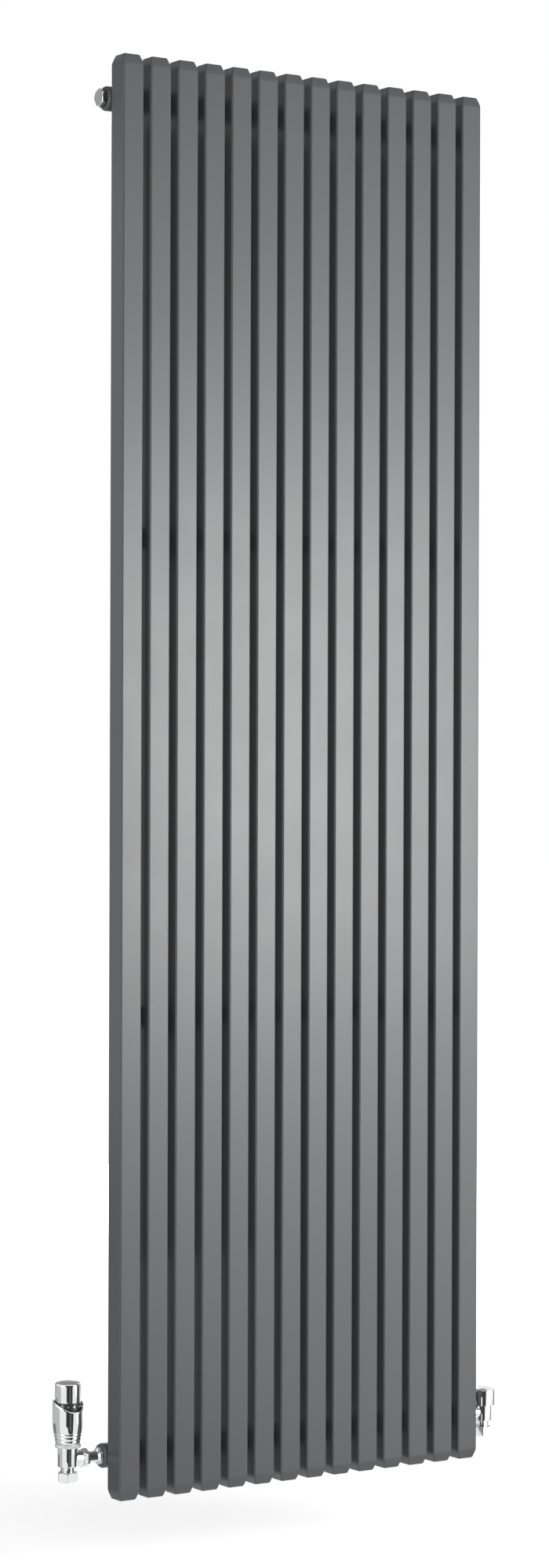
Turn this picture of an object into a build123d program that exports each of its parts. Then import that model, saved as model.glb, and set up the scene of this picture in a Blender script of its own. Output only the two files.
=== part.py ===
from build123d import *
from math import sqrt
import os

os.makedirs("parts", exist_ok=True)

# Heating columns: square steel tubes with pressed, bevelled ends
column_count = 14
column_pitch = 40.0
column_size = 30.0
column_height = 1800.0
column_wall = 1.5
column_corner = 2.0
cap_inset = 3.7
cap_rise = 10.5
cap_blend = 18.0
cap_round = 1.8
edge_pick = 0.1

# Headers: round tubes behind the columns, with a pulled neck to each one
wall_gap = 70.0
header_dia = 31.0
header_wall = 2.0
header_inset = 50.0
neck_length = 4.0
neck_dia = 16.0
neck_wall = 2.0
tube_overrun = 1.0
boss_land = 1.5
boss_spigot = 3.0
boss_rim = 0.5
socket_dia = 21.0
thread_play = 0.1

# Cross bars and the wall brackets that carry them
bar_height = 25.0
bar_depth = 8.0
bar_level = 300.0
bar_end_inset = 12.0
bracket_column_count = 5
plate_width = 48.0
plate_height = 64.0
plate_thick = 3.0
plate_corner = 5.0
fixing_dia = 8.5
fixing_offset = 14.0
web_share = 0.5
web_under = 10.0
hook_nose = 6.5
hook_rise = 14.0
liner_thick = 1.2
liner_share = 0.7

# Hexagon plugs in the top header
plug_out = 7.0
plug_seal_lip = 1.5
plug_seal_thick = 1.4
vent_well_dia = 10.0
vent_well_depth = 3.2
bleed_dia = 6.0
bleed_square = 4.6
bleed_out = 2.2

# Both valves: pipe union, tailpiece and compression joint
union_start = 18.5
union_length = 8.5
union_wall = 1.6
union_thread_dia = 17.8
union_thread_length = 5.0
tail_reach = 18.5
tail_dia = 14.0
tail_wall = 1.5
tail_flange = 1.3
tail_cone = 5.5
tail_rim = 3.5
tail_rim_dia = 20.0
tail_groove = 2.7
tail_groove_depth = 1.4
tail_lip = 1.7
tail_lip_cover = 0.4
pipe_socket_dia = 15.2
spigot_wall = 2.6
spigot_sink = 1.5
nut_wall = 1.6
nut_chamfer = 1.2
nut_floor = 2.5
olive_height = 3.4
olive_shoulder = 1.0
body_chamfer = 1.2
body_rim = 0.6
seat_dia = 10.0
seat_cover = 1.0
seat_thick = 4.0
seat_gap = 0.3
disc_thick = 2.5
running_play = 0.05
loose_play = 0.6

# Thermostatic valve, heights from the header axis
trv_body_dia = 25.5
trv_body_low = -8.9
trv_body_top = 15.6
trv_neck_wall = 1.3
trv_boss_dia = 21.0
trv_nut_drop = 6.1
trv_nut_height = 12.4
trv_seat = -8.0
trv_chamber_dia = 16.2
trv_insert_drop = 11.6
trv_insert_floor = 2.0
trv_gland_dia = 12.0
trv_gland_out = 2.0
trv_stem_dia = 4.0
trv_stem_collar_dia = 8.4
trv_stem_collar_thick = 1.5
trv_holder_thick = 2.0
trv_holder_inset = 0.4
trv_close_turn = 220.0
trv_open_turn = 55.0
trv_turn_lead = 4.0
trv_spring_dia = 7.4
trv_spring_wire = 0.9
trv_spring_turns = 4.0
trv_spring_close = 1.3
trv_spring_room = 0.85
trv_collar_dia = 32.2
trv_collar_wall = 2.1
trv_collar_height = 4.6
trv_base_floor = 4.0
trv_base_step = 1.0
trv_base_overlap = 6.0
trv_base_play = 0.15
trv_guide_wall = 3.15
trv_sensor_rise = 12.0
trv_foot_dia = 5.0
trv_drive_dia = 8.0
trv_drive_gap = 4.0
trv_sleeve_gap = 0.8
trv_sleeve_low_dia = 31.3
trv_sleeve_dia = 38.8
trv_sleeve_height = 52.9
trv_sleeve_wall = 1.2
trv_waist_rise = 14.0
trv_waist_share = 0.7
trv_shoulder_rise = 27.0
trv_bulge_out = 0.66
trv_bulge_up = 0.46
trv_groove_rises = (4.0, 9.0, 13.0)
trv_groove_depth = 0.5
trv_groove_width = 0.9
trv_swoop_depth = 13.7
trv_swoop_run = 32.0
trv_swoop_over = 0.6
trv_nib_width = 4.4
trv_nib_foot = 2.0
trv_nib_tip = 2.2
trv_nib_out = 0.3
trv_cap_gap = 1.7
trv_cap_wall = 1.6
trv_cap_sag = 2.6
trv_cap_edge = 3.5
trv_cap_roof = 5.4
trv_skirt_rise = 25.0
trv_grip_height = 26.1
trv_hub_wall = 3.0
trv_hub_share = 0.34
trv_band_rise = 8.0
trv_band_height = 18.3
trv_band_sink = 0.3
trv_band_thick = 0.8

# Lockshield valve, heights from the header axis
lsv_body_dia = 26.0
lsv_body_low = -12.4
lsv_body_top = 9.4
lsv_neck_wall = 1.15
lsv_boss_dia = 18.2
lsv_nut_drop = 7.2
lsv_nut_height = 12.7
lsv_seat = -8.0
lsv_chamber_dia = 16.4
lsv_bonnet_drop = 7.4
lsv_bonnet_flats = 19.0
lsv_bonnet_height = 4.6
lsv_gland_dia = 13.0
lsv_gland_height = 4.0
lsv_spindle_dia = 6.0
lsv_spindle_out = 10.0
lsv_spindle_square = 4.2
lsv_square_height = 6.0
lsv_spindle_gap = 3.7
lsv_plug_dia = 10.0
lsv_plug_floor = 1.2
lsv_plug_entry = 1.0
lsv_plug_pocket = 5.0
lsv_close_turn = 270.0
lsv_turn_lead = 2.0
lsv_cap_dia = 35.0
lsv_cap_room = 1.5
lsv_cap_roof = 4.6
lsv_cap_sag = 4.0
lsv_cap_edge = 1.5
lsv_cap_wall = 1.6

# Places that follow from the sizes
half_height = column_height / 2
half_width = (column_count - 1) * column_pitch / 2 + column_size / 2
column_y = -(wall_gap + column_size / 2)
column_x = [(i - (column_count - 1) / 2) * column_pitch for i in range(column_count)]
header_y = -(wall_gap - neck_length - header_dia / 2)
header_z = half_height - header_inset
port_dia = neck_dia - 2 * neck_wall
tube_half = column_x[-1] + neck_dia / 2 + tube_overrun
boss_edge = (header_dia - socket_dia) / 2 - boss_rim
boss_length = boss_edge + boss_land
boss_face = tube_half + boss_length
socket_depth = boss_length + boss_spigot
column_gap = column_pitch - column_size
bracket_x = (bracket_column_count + column_count % 2 / 2) * column_pitch
valve_offset = union_start + union_length + tail_reach
spigot_dia = pipe_socket_dia + 2 * spigot_wall
disc_dia = seat_dia + 2 * seat_cover
trv_x = -(boss_face + valve_offset)
lsv_x = boss_face + valve_offset
trv_section = Plane(origin=(trv_x, header_y, -header_z), x_dir=(1, 0, 0), z_dir=(0, -1, 0))
lsv_section = Plane(origin=(lsv_x, header_y, -header_z), x_dir=(-1, 0, 0), z_dir=(0, 1, 0))
trv_axis = Axis((trv_x, header_y, -header_z), (0, 0, 1))
lsv_axis = Axis((lsv_x, header_y, -header_z), (0, 0, 1))
bottom_axis = Axis((0, header_y, -header_z), (1, 0, 0))
top_axis = Axis((0, header_y, header_z), (1, 0, 0))
trv_close_travel = trv_turn_lead * trv_close_turn / 360
trv_open_travel = trv_turn_lead * trv_open_turn / 360
lsv_close_travel = lsv_turn_lead * lsv_close_turn / 360


def dome_points(radius, top, sag, edge):
    """Points of a domed cap's outline: crown arc, then the rounded edge down to the side."""
    crown = (radius * radius + sag * sag) / (2 * sag)
    middle = top - crown
    edge_z = middle + sqrt((crown - edge) ** 2 - (radius - edge) ** 2)
    across = (radius - edge) / (crown - edge)
    upward = (edge_z - middle) / (crown - edge)
    meet = (crown * across, middle + crown * upward)
    half = sqrt((1 + across) / 2)
    rise = sqrt((1 - across) / 2)
    crown_mid = (crown * across / 2, middle + sqrt(crown**2 - (crown * across / 2) ** 2))
    edge_mid = (radius - edge + edge * half, edge_z + edge * rise)
    return (0, top), crown_mid, meet, edge_mid, (radius, edge_z)


# Columns: hollow, closed at both ends, with a water port behind each end
with BuildPart() as column_form:
    for skin, mode in ((0, Mode.ADD), (column_wall, Mode.SUBTRACT)):
        width = column_size - 2 * skin
        tip = width - 2 * cap_inset
        with BuildSketch(Plane.XY.offset(cap_rise - half_height)):
            with Locations((0, column_y)):
                Rectangle(width, width)
        extrude(amount=column_height - 2 * cap_rise, mode=mode)
        for end in (-1, 1):
            with BuildSketch(Plane.XY.offset(end * (half_height - cap_rise))):
                with Locations((0, column_y)):
                    Rectangle(width, width)
            with BuildSketch(Plane.XY.offset(end * (half_height - skin))):
                with Locations((0, column_y)):
                    Rectangle(tip, tip)
            loft(mode=mode)
        if skin == 0:
            for end in (-1, 1):
                level = end * (half_height - cap_rise)
                bends = column_form.edges().filter_by_position(Axis.Z, level - edge_pick, level + edge_pick)
                fillet(bends, cap_blend)
            fillet(column_form.edges().filter_by(Axis.Z), column_corner)
            for end in (-1, 1):
                level = end * half_height
                tips = column_form.edges().filter_by_position(Axis.Z, level - edge_pick, level + edge_pick)
                fillet(tips, cap_round)
    with BuildSketch(Plane.XZ.offset(wall_gap)):
        with Locations((0, header_z), (0, -header_z)):
            Circle(port_dia / 2)
    extrude(amount=column_size / 2, mode=Mode.SUBTRACT)

for number, x in enumerate(column_x, start=1):
    with BuildPart() as column:
        with Locations((x, 0, 0)):
            add(column_form.part)
    column.part.label = f"column_{number:02d}"
    export_step(column.part, f"parts/column_{number:02d}.step")

# Headers: one at each end of the columns
for name, z in (("top_header", header_z), ("bottom_header", -header_z)):
    with BuildPart() as header:
        with BuildSketch(Plane.YZ.offset(-tube_half)):
            with Locations((header_y, z)):
                Circle(header_dia / 2)
        extrude(amount=2 * tube_half)
        with BuildSketch(Plane.XZ.offset(wall_gap)):
            with Locations(*[(x, z) for x in column_x]):
                Circle(neck_dia / 2)
        extrude(amount=-(wall_gap + header_y))
        with BuildSketch(Plane.YZ.offset(-tube_half)):
            with Locations((header_y, z)):
                Circle(header_dia / 2 - header_wall)
        extrude(amount=2 * tube_half, mode=Mode.SUBTRACT)
        with BuildSketch(Plane.XZ.offset(wall_gap)):
            with Locations(*[(x, z) for x in column_x]):
                Circle(port_dia / 2)
        extrude(amount=-(wall_gap + header_y), mode=Mode.SUBTRACT)
    header.part.label = name
    export_step(header.part, f"parts/{name}.step")

# End bosses: turned rings with a rounded nose, welded into the header ends
for level, axis, z in (("top", top_axis, header_z), ("bottom", bottom_axis, -header_z)):
    for side, out in (("left", -1), ("right", 1)):
        radius = header_dia / 2
        spigot = radius - header_wall - running_play
        corner = boss_edge * (1 - sqrt(0.5))
        section = Plane(origin=(out * boss_face, header_y, z), x_dir=(-out, 0, 0), z_dir=(0, out, 0))
        with BuildPart() as boss:
            with BuildSketch(section):
                with BuildLine():
                    ThreePointArc((0, radius - boss_edge), (corner, radius - corner), (boss_edge, radius))
                    Polyline(
                        (boss_edge, radius),
                        (boss_length, radius),
                        (boss_length, spigot),
                        (socket_depth, spigot),
                        (socket_depth, socket_dia / 2),
                        (0, socket_dia / 2),
                        (0, radius - boss_edge),
                    )
                make_face()
            revolve(axis=axis)
        boss.part.label = f"{level}_{side}_boss"
        export_step(boss.part, f"parts/{level}_{side}_boss.step")

# Cross bars: flat bars welded across the backs of the columns
for name, z in (("upper_cross_bar", bar_level), ("lower_cross_bar", -bar_level)):
    with BuildPart() as cross_bar:
        with BuildSketch(Plane.XZ.offset(wall_gap)):
            with Locations((0, z)):
                Rectangle(2 * (half_width - bar_end_inset), bar_height)
        extrude(amount=-bar_depth)
    cross_bar.part.label = name
    export_step(cross_bar.part, f"parts/{name}.step")

# Wall brackets: a drilled plate with an upright arm that hooks under the cross bar
notch_front = -(wall_gap + liner_thick)
notch_back = -(wall_gap - bar_depth - liner_thick)
notch_floor = -(bar_height / 2 + liner_thick)
web_thick = column_gap * web_share
liner_width = column_gap * liner_share
for level, z in (("upper", bar_level), ("lower", -bar_level)):
    for side, x in (("left", -bracket_x), ("right", bracket_x)):
        with BuildPart() as bracket:
            with BuildSketch(Plane.XZ):
                with Locations((x, z)):
                    RectangleRounded(plate_width, plate_height, plate_corner)
                with Locations((x - fixing_offset, z), (x + fixing_offset, z)):
                    Circle(fixing_dia / 2, mode=Mode.SUBTRACT)
            extrude(amount=plate_thick)
            with BuildSketch(Plane.YZ.offset(x - web_thick / 2)):
                with BuildLine():
                    Polyline(
                        (-plate_thick, z + plate_height / 2 - plate_corner),
                        (-plate_thick, z - plate_height / 2 + plate_corner),
                        (notch_back, z + notch_floor - web_under),
                        (notch_front - hook_nose, z + notch_floor - web_under),
                        (notch_front - hook_nose, z + notch_floor + hook_rise),
                        (notch_front, z + notch_floor + hook_rise),
                        (notch_front, z + notch_floor),
                        (notch_back, z + notch_floor),
                        (notch_back, z + notch_floor + hook_rise),
                        close=True,
                    )
                make_face()
            extrude(amount=web_thick)
        bracket.part.label = f"{level}_{side}_bracket"
        export_step(bracket.part, f"parts/{level}_{side}_bracket.step")

# Liners: soft strips folded into the hooks, between the bracket and the painted bar
with BuildPart() as bracket_liners:
    for x in (-bracket_x, bracket_x):
        with BuildSketch(Plane.YZ.offset(x - liner_width / 2)):
            for z in (bar_level, -bar_level):
                with BuildLine():
                    Polyline(
                        (notch_front, z + notch_floor),
                        (notch_back, z + notch_floor),
                        (notch_back, z + notch_floor + hook_rise),
                        (notch_back - liner_thick, z + notch_floor + hook_rise),
                        (notch_back - liner_thick, z - bar_height / 2),
                        (notch_front + liner_thick, z - bar_height / 2),
                        (notch_front + liner_thick, z + notch_floor + hook_rise),
                        (notch_front, z + notch_floor + hook_rise),
                        close=True,
                    )
                make_face()
        extrude(amount=liner_width)
bracket_liners.part.label = "bracket_liners"
export_step(bracket_liners.part, "parts/bracket_liners.step")

# Seals under the two top plugs
for name, out in (("plug_seal", -1), ("vent_seal", 1)):
    face = Plane(origin=(out * boss_face, header_y, header_z), x_dir=(0, out, 0), z_dir=(out, 0, 0))
    with BuildPart() as seal:
        with BuildSketch(face):
            Circle(socket_dia / 2 + plug_seal_lip)
            Circle(socket_dia / 2, mode=Mode.SUBTRACT)
        extrude(amount=plug_seal_thick)
    seal.part.label = name
    export_step(seal.part, f"parts/{name}.step")

# Blanking plug: hexagon head with a chamfered face, points up and down
plug_plane = Plane(
    origin=(-boss_face - plug_seal_thick, header_y, header_z), x_dir=(0, -1, 0), z_dir=(-1, 0, 0)
)
plug_head = plug_out - plug_seal_thick
plug_points = socket_dia / 2 + plug_seal_lip
plug_flats = plug_points * sqrt(3)
with BuildPart() as blanking_plug:
    with BuildSketch(plug_plane):
        RegularPolygon(plug_flats / 2, 6, major_radius=False, rotation=90)
    extrude(amount=plug_head)
    with BuildSketch(Plane(origin=(-boss_face, header_y, header_z), x_dir=(-1, 0, 0), z_dir=(0, -1, 0))):
        with BuildLine():
            Polyline(
                (plug_seal_thick, 0),
                (plug_seal_thick, plug_points),
                (plug_out - nut_chamfer, plug_points),
                (plug_out, plug_flats / 2 - nut_chamfer),
                (plug_out, 0),
                close=True,
            )
        make_face()
    revolve(axis=top_axis, mode=Mode.INTERSECT)
    with BuildSketch(plug_plane):
        Circle(socket_dia / 2 - thread_play)
    extrude(amount=-(socket_depth + plug_seal_thick))
blanking_plug.part.label = "blanking_plug"
export_step(blanking_plug.part, "parts/blanking_plug.step")

# Air vent plug: the same hexagon with a well and a bore for the bleed screw
vent_plane = Plane(
    origin=(boss_face + plug_seal_thick, header_y, header_z), x_dir=(0, 1, 0), z_dir=(1, 0, 0)
)
with BuildPart() as vent_plug:
    with BuildSketch(vent_plane):
        RegularPolygon(plug_flats / 2, 6, major_radius=False, rotation=90)
    extrude(amount=plug_head)
    with BuildSketch(Plane(origin=(boss_face, header_y, header_z), x_dir=(1, 0, 0), z_dir=(0, -1, 0))):
        with BuildLine():
            Polyline(
                (plug_seal_thick, 0),
                (plug_seal_thick, plug_points),
                (plug_out - nut_chamfer, plug_points),
                (plug_out, plug_flats / 2 - nut_chamfer),
                (plug_out, 0),
                close=True,
            )
        make_face()
    revolve(axis=top_axis, mode=Mode.INTERSECT)
    with BuildSketch(vent_plane):
        Circle(socket_dia / 2 - thread_play)
    extrude(amount=-(socket_depth + plug_seal_thick))
    with BuildSketch(vent_plane.offset(plug_head)):
        Circle(vent_well_dia / 2)
    extrude(amount=-vent_well_depth, mode=Mode.SUBTRACT)
    with BuildSketch(vent_plane.offset(plug_head)):
        Circle(bleed_dia / 2 + running_play)
    extrude(amount=-(plug_head + socket_depth + plug_seal_thick), mode=Mode.SUBTRACT)
vent_plug.part.label = "vent_plug"
export_step(vent_plug.part, "parts/vent_plug.step")

# Bleed screw: round shank with a square end for the key
with BuildPart() as bleed_screw:
    with BuildSketch(vent_plane.offset(plug_head - vent_well_depth)):
        Circle(bleed_dia / 2)
    extrude(amount=-(socket_depth + plug_head - vent_well_depth))
    with BuildSketch(vent_plane.offset(plug_head - vent_well_depth)):
        Rectangle(bleed_square, bleed_square)
    extrude(amount=bleed_out)
bleed_screw.part.label = "bleed_screw"
export_step(bleed_screw.part, "parts/bleed_screw.step")

# Valve bodies, angle pattern: pipe from below, a seat inside, the union towards the header
tail_bore = tail_dia - 2 * tail_wall
trv_nut_top = trv_body_low - trv_nut_drop
trv_nut_low = trv_nut_top - trv_nut_height
lsv_nut_top = lsv_body_low - lsv_nut_drop
lsv_nut_low = lsv_nut_top - lsv_nut_height
bodies = (
    ("trv_body", trv_section, trv_axis, trv_body_dia, trv_body_low, trv_body_top, trv_neck_wall,
     trv_boss_dia, trv_nut_low, trv_nut_top, trv_seat, trv_chamber_dia),
    ("lsv_body", lsv_section, lsv_axis, lsv_body_dia, lsv_body_low, lsv_body_top, lsv_neck_wall,
     lsv_boss_dia, lsv_nut_low, lsv_nut_top, lsv_seat, lsv_chamber_dia),
)
for name, section, axis, dia, low, top, wall, boss_dia, nut_low, nut_top, seat, chamber in bodies:
    spigot_low = nut_low + nut_floor + olive_height
    spigot_top = nut_top - spigot_sink
    neck = pipe_socket_dia / 2 + wall
    branch = Plane(origin=section.origin, x_dir=section.z_dir, z_dir=section.x_dir)
    with BuildPart() as valve_body:
        with BuildSketch(section):
            with BuildLine():
                Polyline(
                    (0, spigot_low),
                    (spigot_dia / 2, spigot_low),
                    (spigot_dia / 2, spigot_top),
                    (neck, spigot_top),
                    (neck, low),
                    (dia / 2 - body_chamfer, low),
                    (dia / 2, low + body_chamfer),
                    (dia / 2, top - body_rim),
                    (dia / 2 - body_rim, top),
                    (0, top),
                    close=True,
                )
            make_face()
        revolve(axis=axis)
        with BuildSketch(branch):
            Circle(boss_dia / 2)
        extrude(amount=union_start)
        with BuildSketch(branch):
            Circle(union_thread_dia / 2)
        extrude(amount=union_start + union_thread_length)
        with BuildSketch(section):
            with BuildLine():
                Polyline(
                    (0, spigot_low),
                    (pipe_socket_dia / 2, spigot_low),
                    (pipe_socket_dia / 2, seat - seat_thick),
                    (seat_dia / 2, seat - seat_thick),
                    (seat_dia / 2, seat),
                    (chamber / 2, seat),
                    (chamber / 2, top),
                    (0, top),
                    close=True,
                )
            make_face()
        revolve(axis=axis, mode=Mode.SUBTRACT)
        with BuildSketch(branch):
            Circle(tail_bore / 2)
        extrude(amount=union_start + union_thread_length, mode=Mode.SUBTRACT)
    valve_body.part.label = name
    export_step(valve_body.part, f"parts/{name}.step")

# Union nuts, tailpieces, compression nuts and olives, the same on both valves
sides = (
    ("trv", trv_section, trv_axis, trv_x, trv_nut_low, trv_nut_top),
    ("lsv", lsv_section, lsv_axis, lsv_x, lsv_nut_low, lsv_nut_top),
)
union_flats = union_thread_dia + 2 * union_wall
union_points = union_flats / sqrt(3)
union_end = union_start + union_length
flange_start = union_start + union_thread_length
flange_end = flange_start + tail_flange
tail_end = valve_offset + socket_depth
nut_flats = spigot_dia + 2 * nut_wall
nut_points = nut_flats / sqrt(3)
olive_edge = spigot_dia / 2 - seat_gap
for valve, section, axis, x, nut_low, nut_top in sides:
    branch = Plane(origin=section.origin, x_dir=section.z_dir, z_dir=section.x_dir)
    with BuildPart() as union_nut:
        with BuildSketch(branch.offset(union_start)):
            RegularPolygon(union_flats / 2, 6, major_radius=False, rotation=90)
        extrude(amount=union_length)
        with BuildSketch(section):
            with BuildLine():
                Polyline(
                    (union_start, 0),
                    (union_start, union_points - nut_chamfer),
                    (union_start + nut_chamfer, union_points),
                    (union_end - nut_chamfer, union_points),
                    (union_end, union_points - nut_chamfer),
                    (union_end, 0),
                    close=True,
                )
            make_face()
        revolve(axis=bottom_axis, mode=Mode.INTERSECT)
        with BuildSketch(branch.offset(union_start)):
            Circle(union_thread_dia / 2 + thread_play)
        extrude(amount=flange_end - union_start, mode=Mode.SUBTRACT)
        with BuildSketch(branch.offset(union_start)):
            Circle(tail_dia / 2 + thread_play)
        extrude(amount=union_length, mode=Mode.SUBTRACT)
    union_nut.part.label = f"{valve}_union_nut"
    export_step(union_nut.part, f"parts/{valve}_union_nut.step")

    with BuildPart() as tailpiece:
        with BuildSketch(section):
            with BuildLine():
                Polyline(
                    (flange_start, tail_bore / 2),
                    (flange_start, union_thread_dia / 2),
                    (flange_end, union_thread_dia / 2),
                    (flange_end, tail_dia / 2),
                    (valve_offset - tail_cone, tail_dia / 2),
                    (valve_offset - tail_rim, tail_rim_dia / 2),
                    (valve_offset - tail_groove, tail_rim_dia / 2),
                    (valve_offset - tail_groove, tail_rim_dia / 2 - tail_groove_depth),
                    (valve_offset - tail_lip, tail_rim_dia / 2 - tail_groove_depth),
                    (valve_offset - tail_lip, socket_dia / 2 + tail_lip_cover),
                    (valve_offset, socket_dia / 2 + tail_lip_cover),
                    (valve_offset, socket_dia / 2 - thread_play),
                    (tail_end, socket_dia / 2 - thread_play),
                    (tail_end, tail_bore / 2),
                    close=True,
                )
            make_face()
        revolve(axis=bottom_axis)
    tailpiece.part.label = f"{valve}_tailpiece"
    export_step(tailpiece.part, f"parts/{valve}_tailpiece.step")

    with BuildPart() as compression_nut:
        with BuildSketch(Plane(origin=(x, header_y, nut_low - header_z))):
            RegularPolygon(nut_flats / 2, 6, major_radius=False)
        extrude(amount=nut_top - nut_low)
        with BuildSketch(section):
            with BuildLine():
                Polyline(
                    (0, nut_low),
                    (nut_points - 2 * nut_chamfer, nut_low),
                    (nut_points - nut_chamfer / 2, nut_low + 1.5 * nut_chamfer),
                    (nut_points - nut_chamfer / 2, nut_top - nut_chamfer / 2),
                    (nut_points - nut_chamfer, nut_top),
                    (0, nut_top),
                    close=True,
                )
            make_face()
        revolve(axis=axis, mode=Mode.INTERSECT)
        with BuildSketch(Plane(origin=(x, header_y, nut_low + nut_floor - header_z))):
            Circle(spigot_dia / 2 + thread_play)
        extrude(amount=nut_top - nut_low - nut_floor, mode=Mode.SUBTRACT)
        with BuildSketch(Plane(origin=(x, header_y, nut_low - header_z))):
            Circle(pipe_socket_dia / 2 + thread_play)
        extrude(amount=nut_floor, mode=Mode.SUBTRACT)
    compression_nut.part.label = f"{valve}_compression_nut"
    export_step(compression_nut.part, f"parts/{valve}_compression_nut.step")

    with BuildPart() as olive:
        with BuildSketch(section):
            with BuildLine():
                Polyline(
                    (pipe_socket_dia / 2, nut_low + nut_floor),
                    (spigot_dia / 2 - olive_shoulder, nut_low + nut_floor),
                    (olive_edge, nut_low + nut_floor + olive_height / 3),
                    (olive_edge, nut_low + nut_floor + olive_height * 2 / 3),
                    (spigot_dia / 2 - olive_shoulder, nut_low + nut_floor + olive_height),
                    (pipe_socket_dia / 2, nut_low + nut_floor + olive_height),
                    close=True,
                )
            make_face()
        revolve(axis=axis)
    olive.part.label = f"{valve}_olive"
    export_step(olive.part, f"parts/{valve}_olive.step")

# Thermostatic insert: screwed into the body top, with a floor that guides the stem and seats its spring
insert_low = trv_body_top - trv_insert_drop
insert_top = trv_body_top + trv_collar_height
insert_flange = trv_collar_dia / 2 - trv_collar_wall
spring_seat = insert_low + trv_insert_floor
spring_rise = trv_close_travel + trv_spring_turns * trv_spring_close
spring_top = spring_seat + spring_rise + trv_spring_wire
spring_room = (trv_spring_dia + trv_spring_wire) / 2 + trv_spring_room
gland_low = spring_top + trv_stem_collar_thick + trv_open_travel + seat_gap
gland_top = insert_top + trv_gland_out
stem_bore = trv_stem_dia / 2 + running_play
with BuildPart() as trv_insert:
    with BuildSketch(trv_section):
        with BuildLine():
            Polyline(
                (stem_bore, insert_low),
                (trv_chamber_dia / 2 - thread_play, insert_low),
                (trv_chamber_dia / 2 - thread_play, trv_body_top),
                (insert_flange, trv_body_top),
                (insert_flange, insert_top),
                (trv_gland_dia / 2 + thread_play, insert_top),
                (trv_gland_dia / 2 + thread_play, gland_low),
                (spring_room, gland_low),
                (spring_room, spring_seat),
                (stem_bore, spring_seat),
                close=True,
            )
        make_face()
    revolve(axis=trv_axis)
trv_insert.part.label = "trv_insert"
export_step(trv_insert.part, "parts/trv_insert.step")

# Gland: screwed into the insert over the spring, seals round the stem
with BuildPart() as trv_gland:
    with BuildSketch(Plane(origin=(trv_x, header_y, gland_low - header_z))):
        Circle(trv_gland_dia / 2)
        Circle(stem_bore, mode=Mode.SUBTRACT)
    extrude(amount=gland_top - gland_low)
trv_gland.part.label = "trv_gland"
export_step(trv_gland.part, "parts/trv_gland.step")

# Disc: rubber face that closes the seat
disc_low = trv_seat + seat_gap + trv_close_travel
holder_low = disc_low + disc_thick
holder_top = holder_low + trv_holder_thick
with BuildPart() as trv_disc:
    with BuildSketch(Plane(origin=(trv_x, header_y, disc_low - header_z))):
        Circle(disc_dia / 2)
    extrude(amount=disc_thick)
trv_disc.part.label = "trv_disc"
export_step(trv_disc.part, "parts/trv_disc.step")

with BuildPart() as trv_disc_holder:
    with BuildSketch(Plane(origin=(trv_x, header_y, holder_low - header_z))):
        Circle(disc_dia / 2 - trv_holder_inset)
    extrude(amount=trv_holder_thick)
trv_disc_holder.part.label = "trv_disc_holder"
export_step(trv_disc_holder.part, "parts/trv_disc_holder.step")

# Stem: steel pin from the disc holder up to the sensor's foot, with the collar the spring lifts
stem_top = gland_top + trv_close_travel + seat_gap
with BuildPart() as trv_stem:
    with BuildSketch(Plane(origin=(trv_x, header_y, holder_top - header_z))):
        Circle(trv_stem_dia / 2)
    extrude(amount=stem_top - holder_top)
    with BuildSketch(Plane(origin=(trv_x, header_y, spring_top - header_z))):
        Circle(trv_stem_collar_dia / 2)
    extrude(amount=trv_stem_collar_thick)
trv_stem.part.label = "trv_stem"
export_step(trv_stem.part, "parts/trv_stem.step")

# Stem spring: open coil from the insert's floor to the stem's collar, holds the valve open
with BuildPart() as trv_spring:
    with BuildLine():
        coil = Helix(
            spring_rise / trv_spring_turns,
            spring_rise,
            trv_spring_dia / 2,
            center=(trv_x, header_y, spring_seat + trv_spring_wire / 2 - header_z),
        )
    with BuildSketch(Plane(origin=coil @ 0, z_dir=coil % 0)):
        Circle(trv_spring_wire / 2)
    sweep()
trv_spring.part.label = "trv_spring"
export_step(trv_spring.part, "parts/trv_spring.step")

# Collar ring: screws the head down on the insert
with BuildPart() as trv_collar:
    with BuildSketch(Plane(origin=(trv_x, header_y, trv_body_top - header_z))):
        Circle(trv_collar_dia / 2)
        Circle(insert_flange + thread_play, mode=Mode.SUBTRACT)
    extrude(amount=trv_collar_height)
trv_collar.part.label = "trv_collar"
export_step(trv_collar.part, "parts/trv_collar.step")

# Head base: moulded cup on the insert, with the tube that guides the sensor
sleeve_low = insert_top + trv_sleeve_gap
sleeve_top = sleeve_low + trv_sleeve_height
skirt_low = sleeve_low + trv_skirt_rise
grip = trv_sleeve_dia / 2 - trv_sleeve_wall - trv_cap_gap
base_floor = insert_top + trv_base_floor
base_top = skirt_low + trv_base_overlap
base_radius = grip - trv_cap_wall - loose_play
floor_radius = trv_sleeve_low_dia / 2 - trv_sleeve_wall - trv_base_play
base_hole = trv_gland_dia / 2 + seat_gap
guide_bore = base_radius - trv_guide_wall
with BuildPart() as trv_base:
    with BuildSketch(trv_section):
        with BuildLine():
            Polyline(
                (base_hole, insert_top),
                (floor_radius, insert_top),
                (floor_radius, base_floor),
                (base_radius, base_floor + trv_base_step),
                (base_radius, base_top),
                (guide_bore, base_top),
                (guide_bore, base_floor),
                (base_hole, base_floor),
                close=True,
            )
        make_face()
    revolve(axis=trv_axis)
trv_base.part.label = "trv_base"
export_step(trv_base.part, "parts/trv_base.step")

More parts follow.
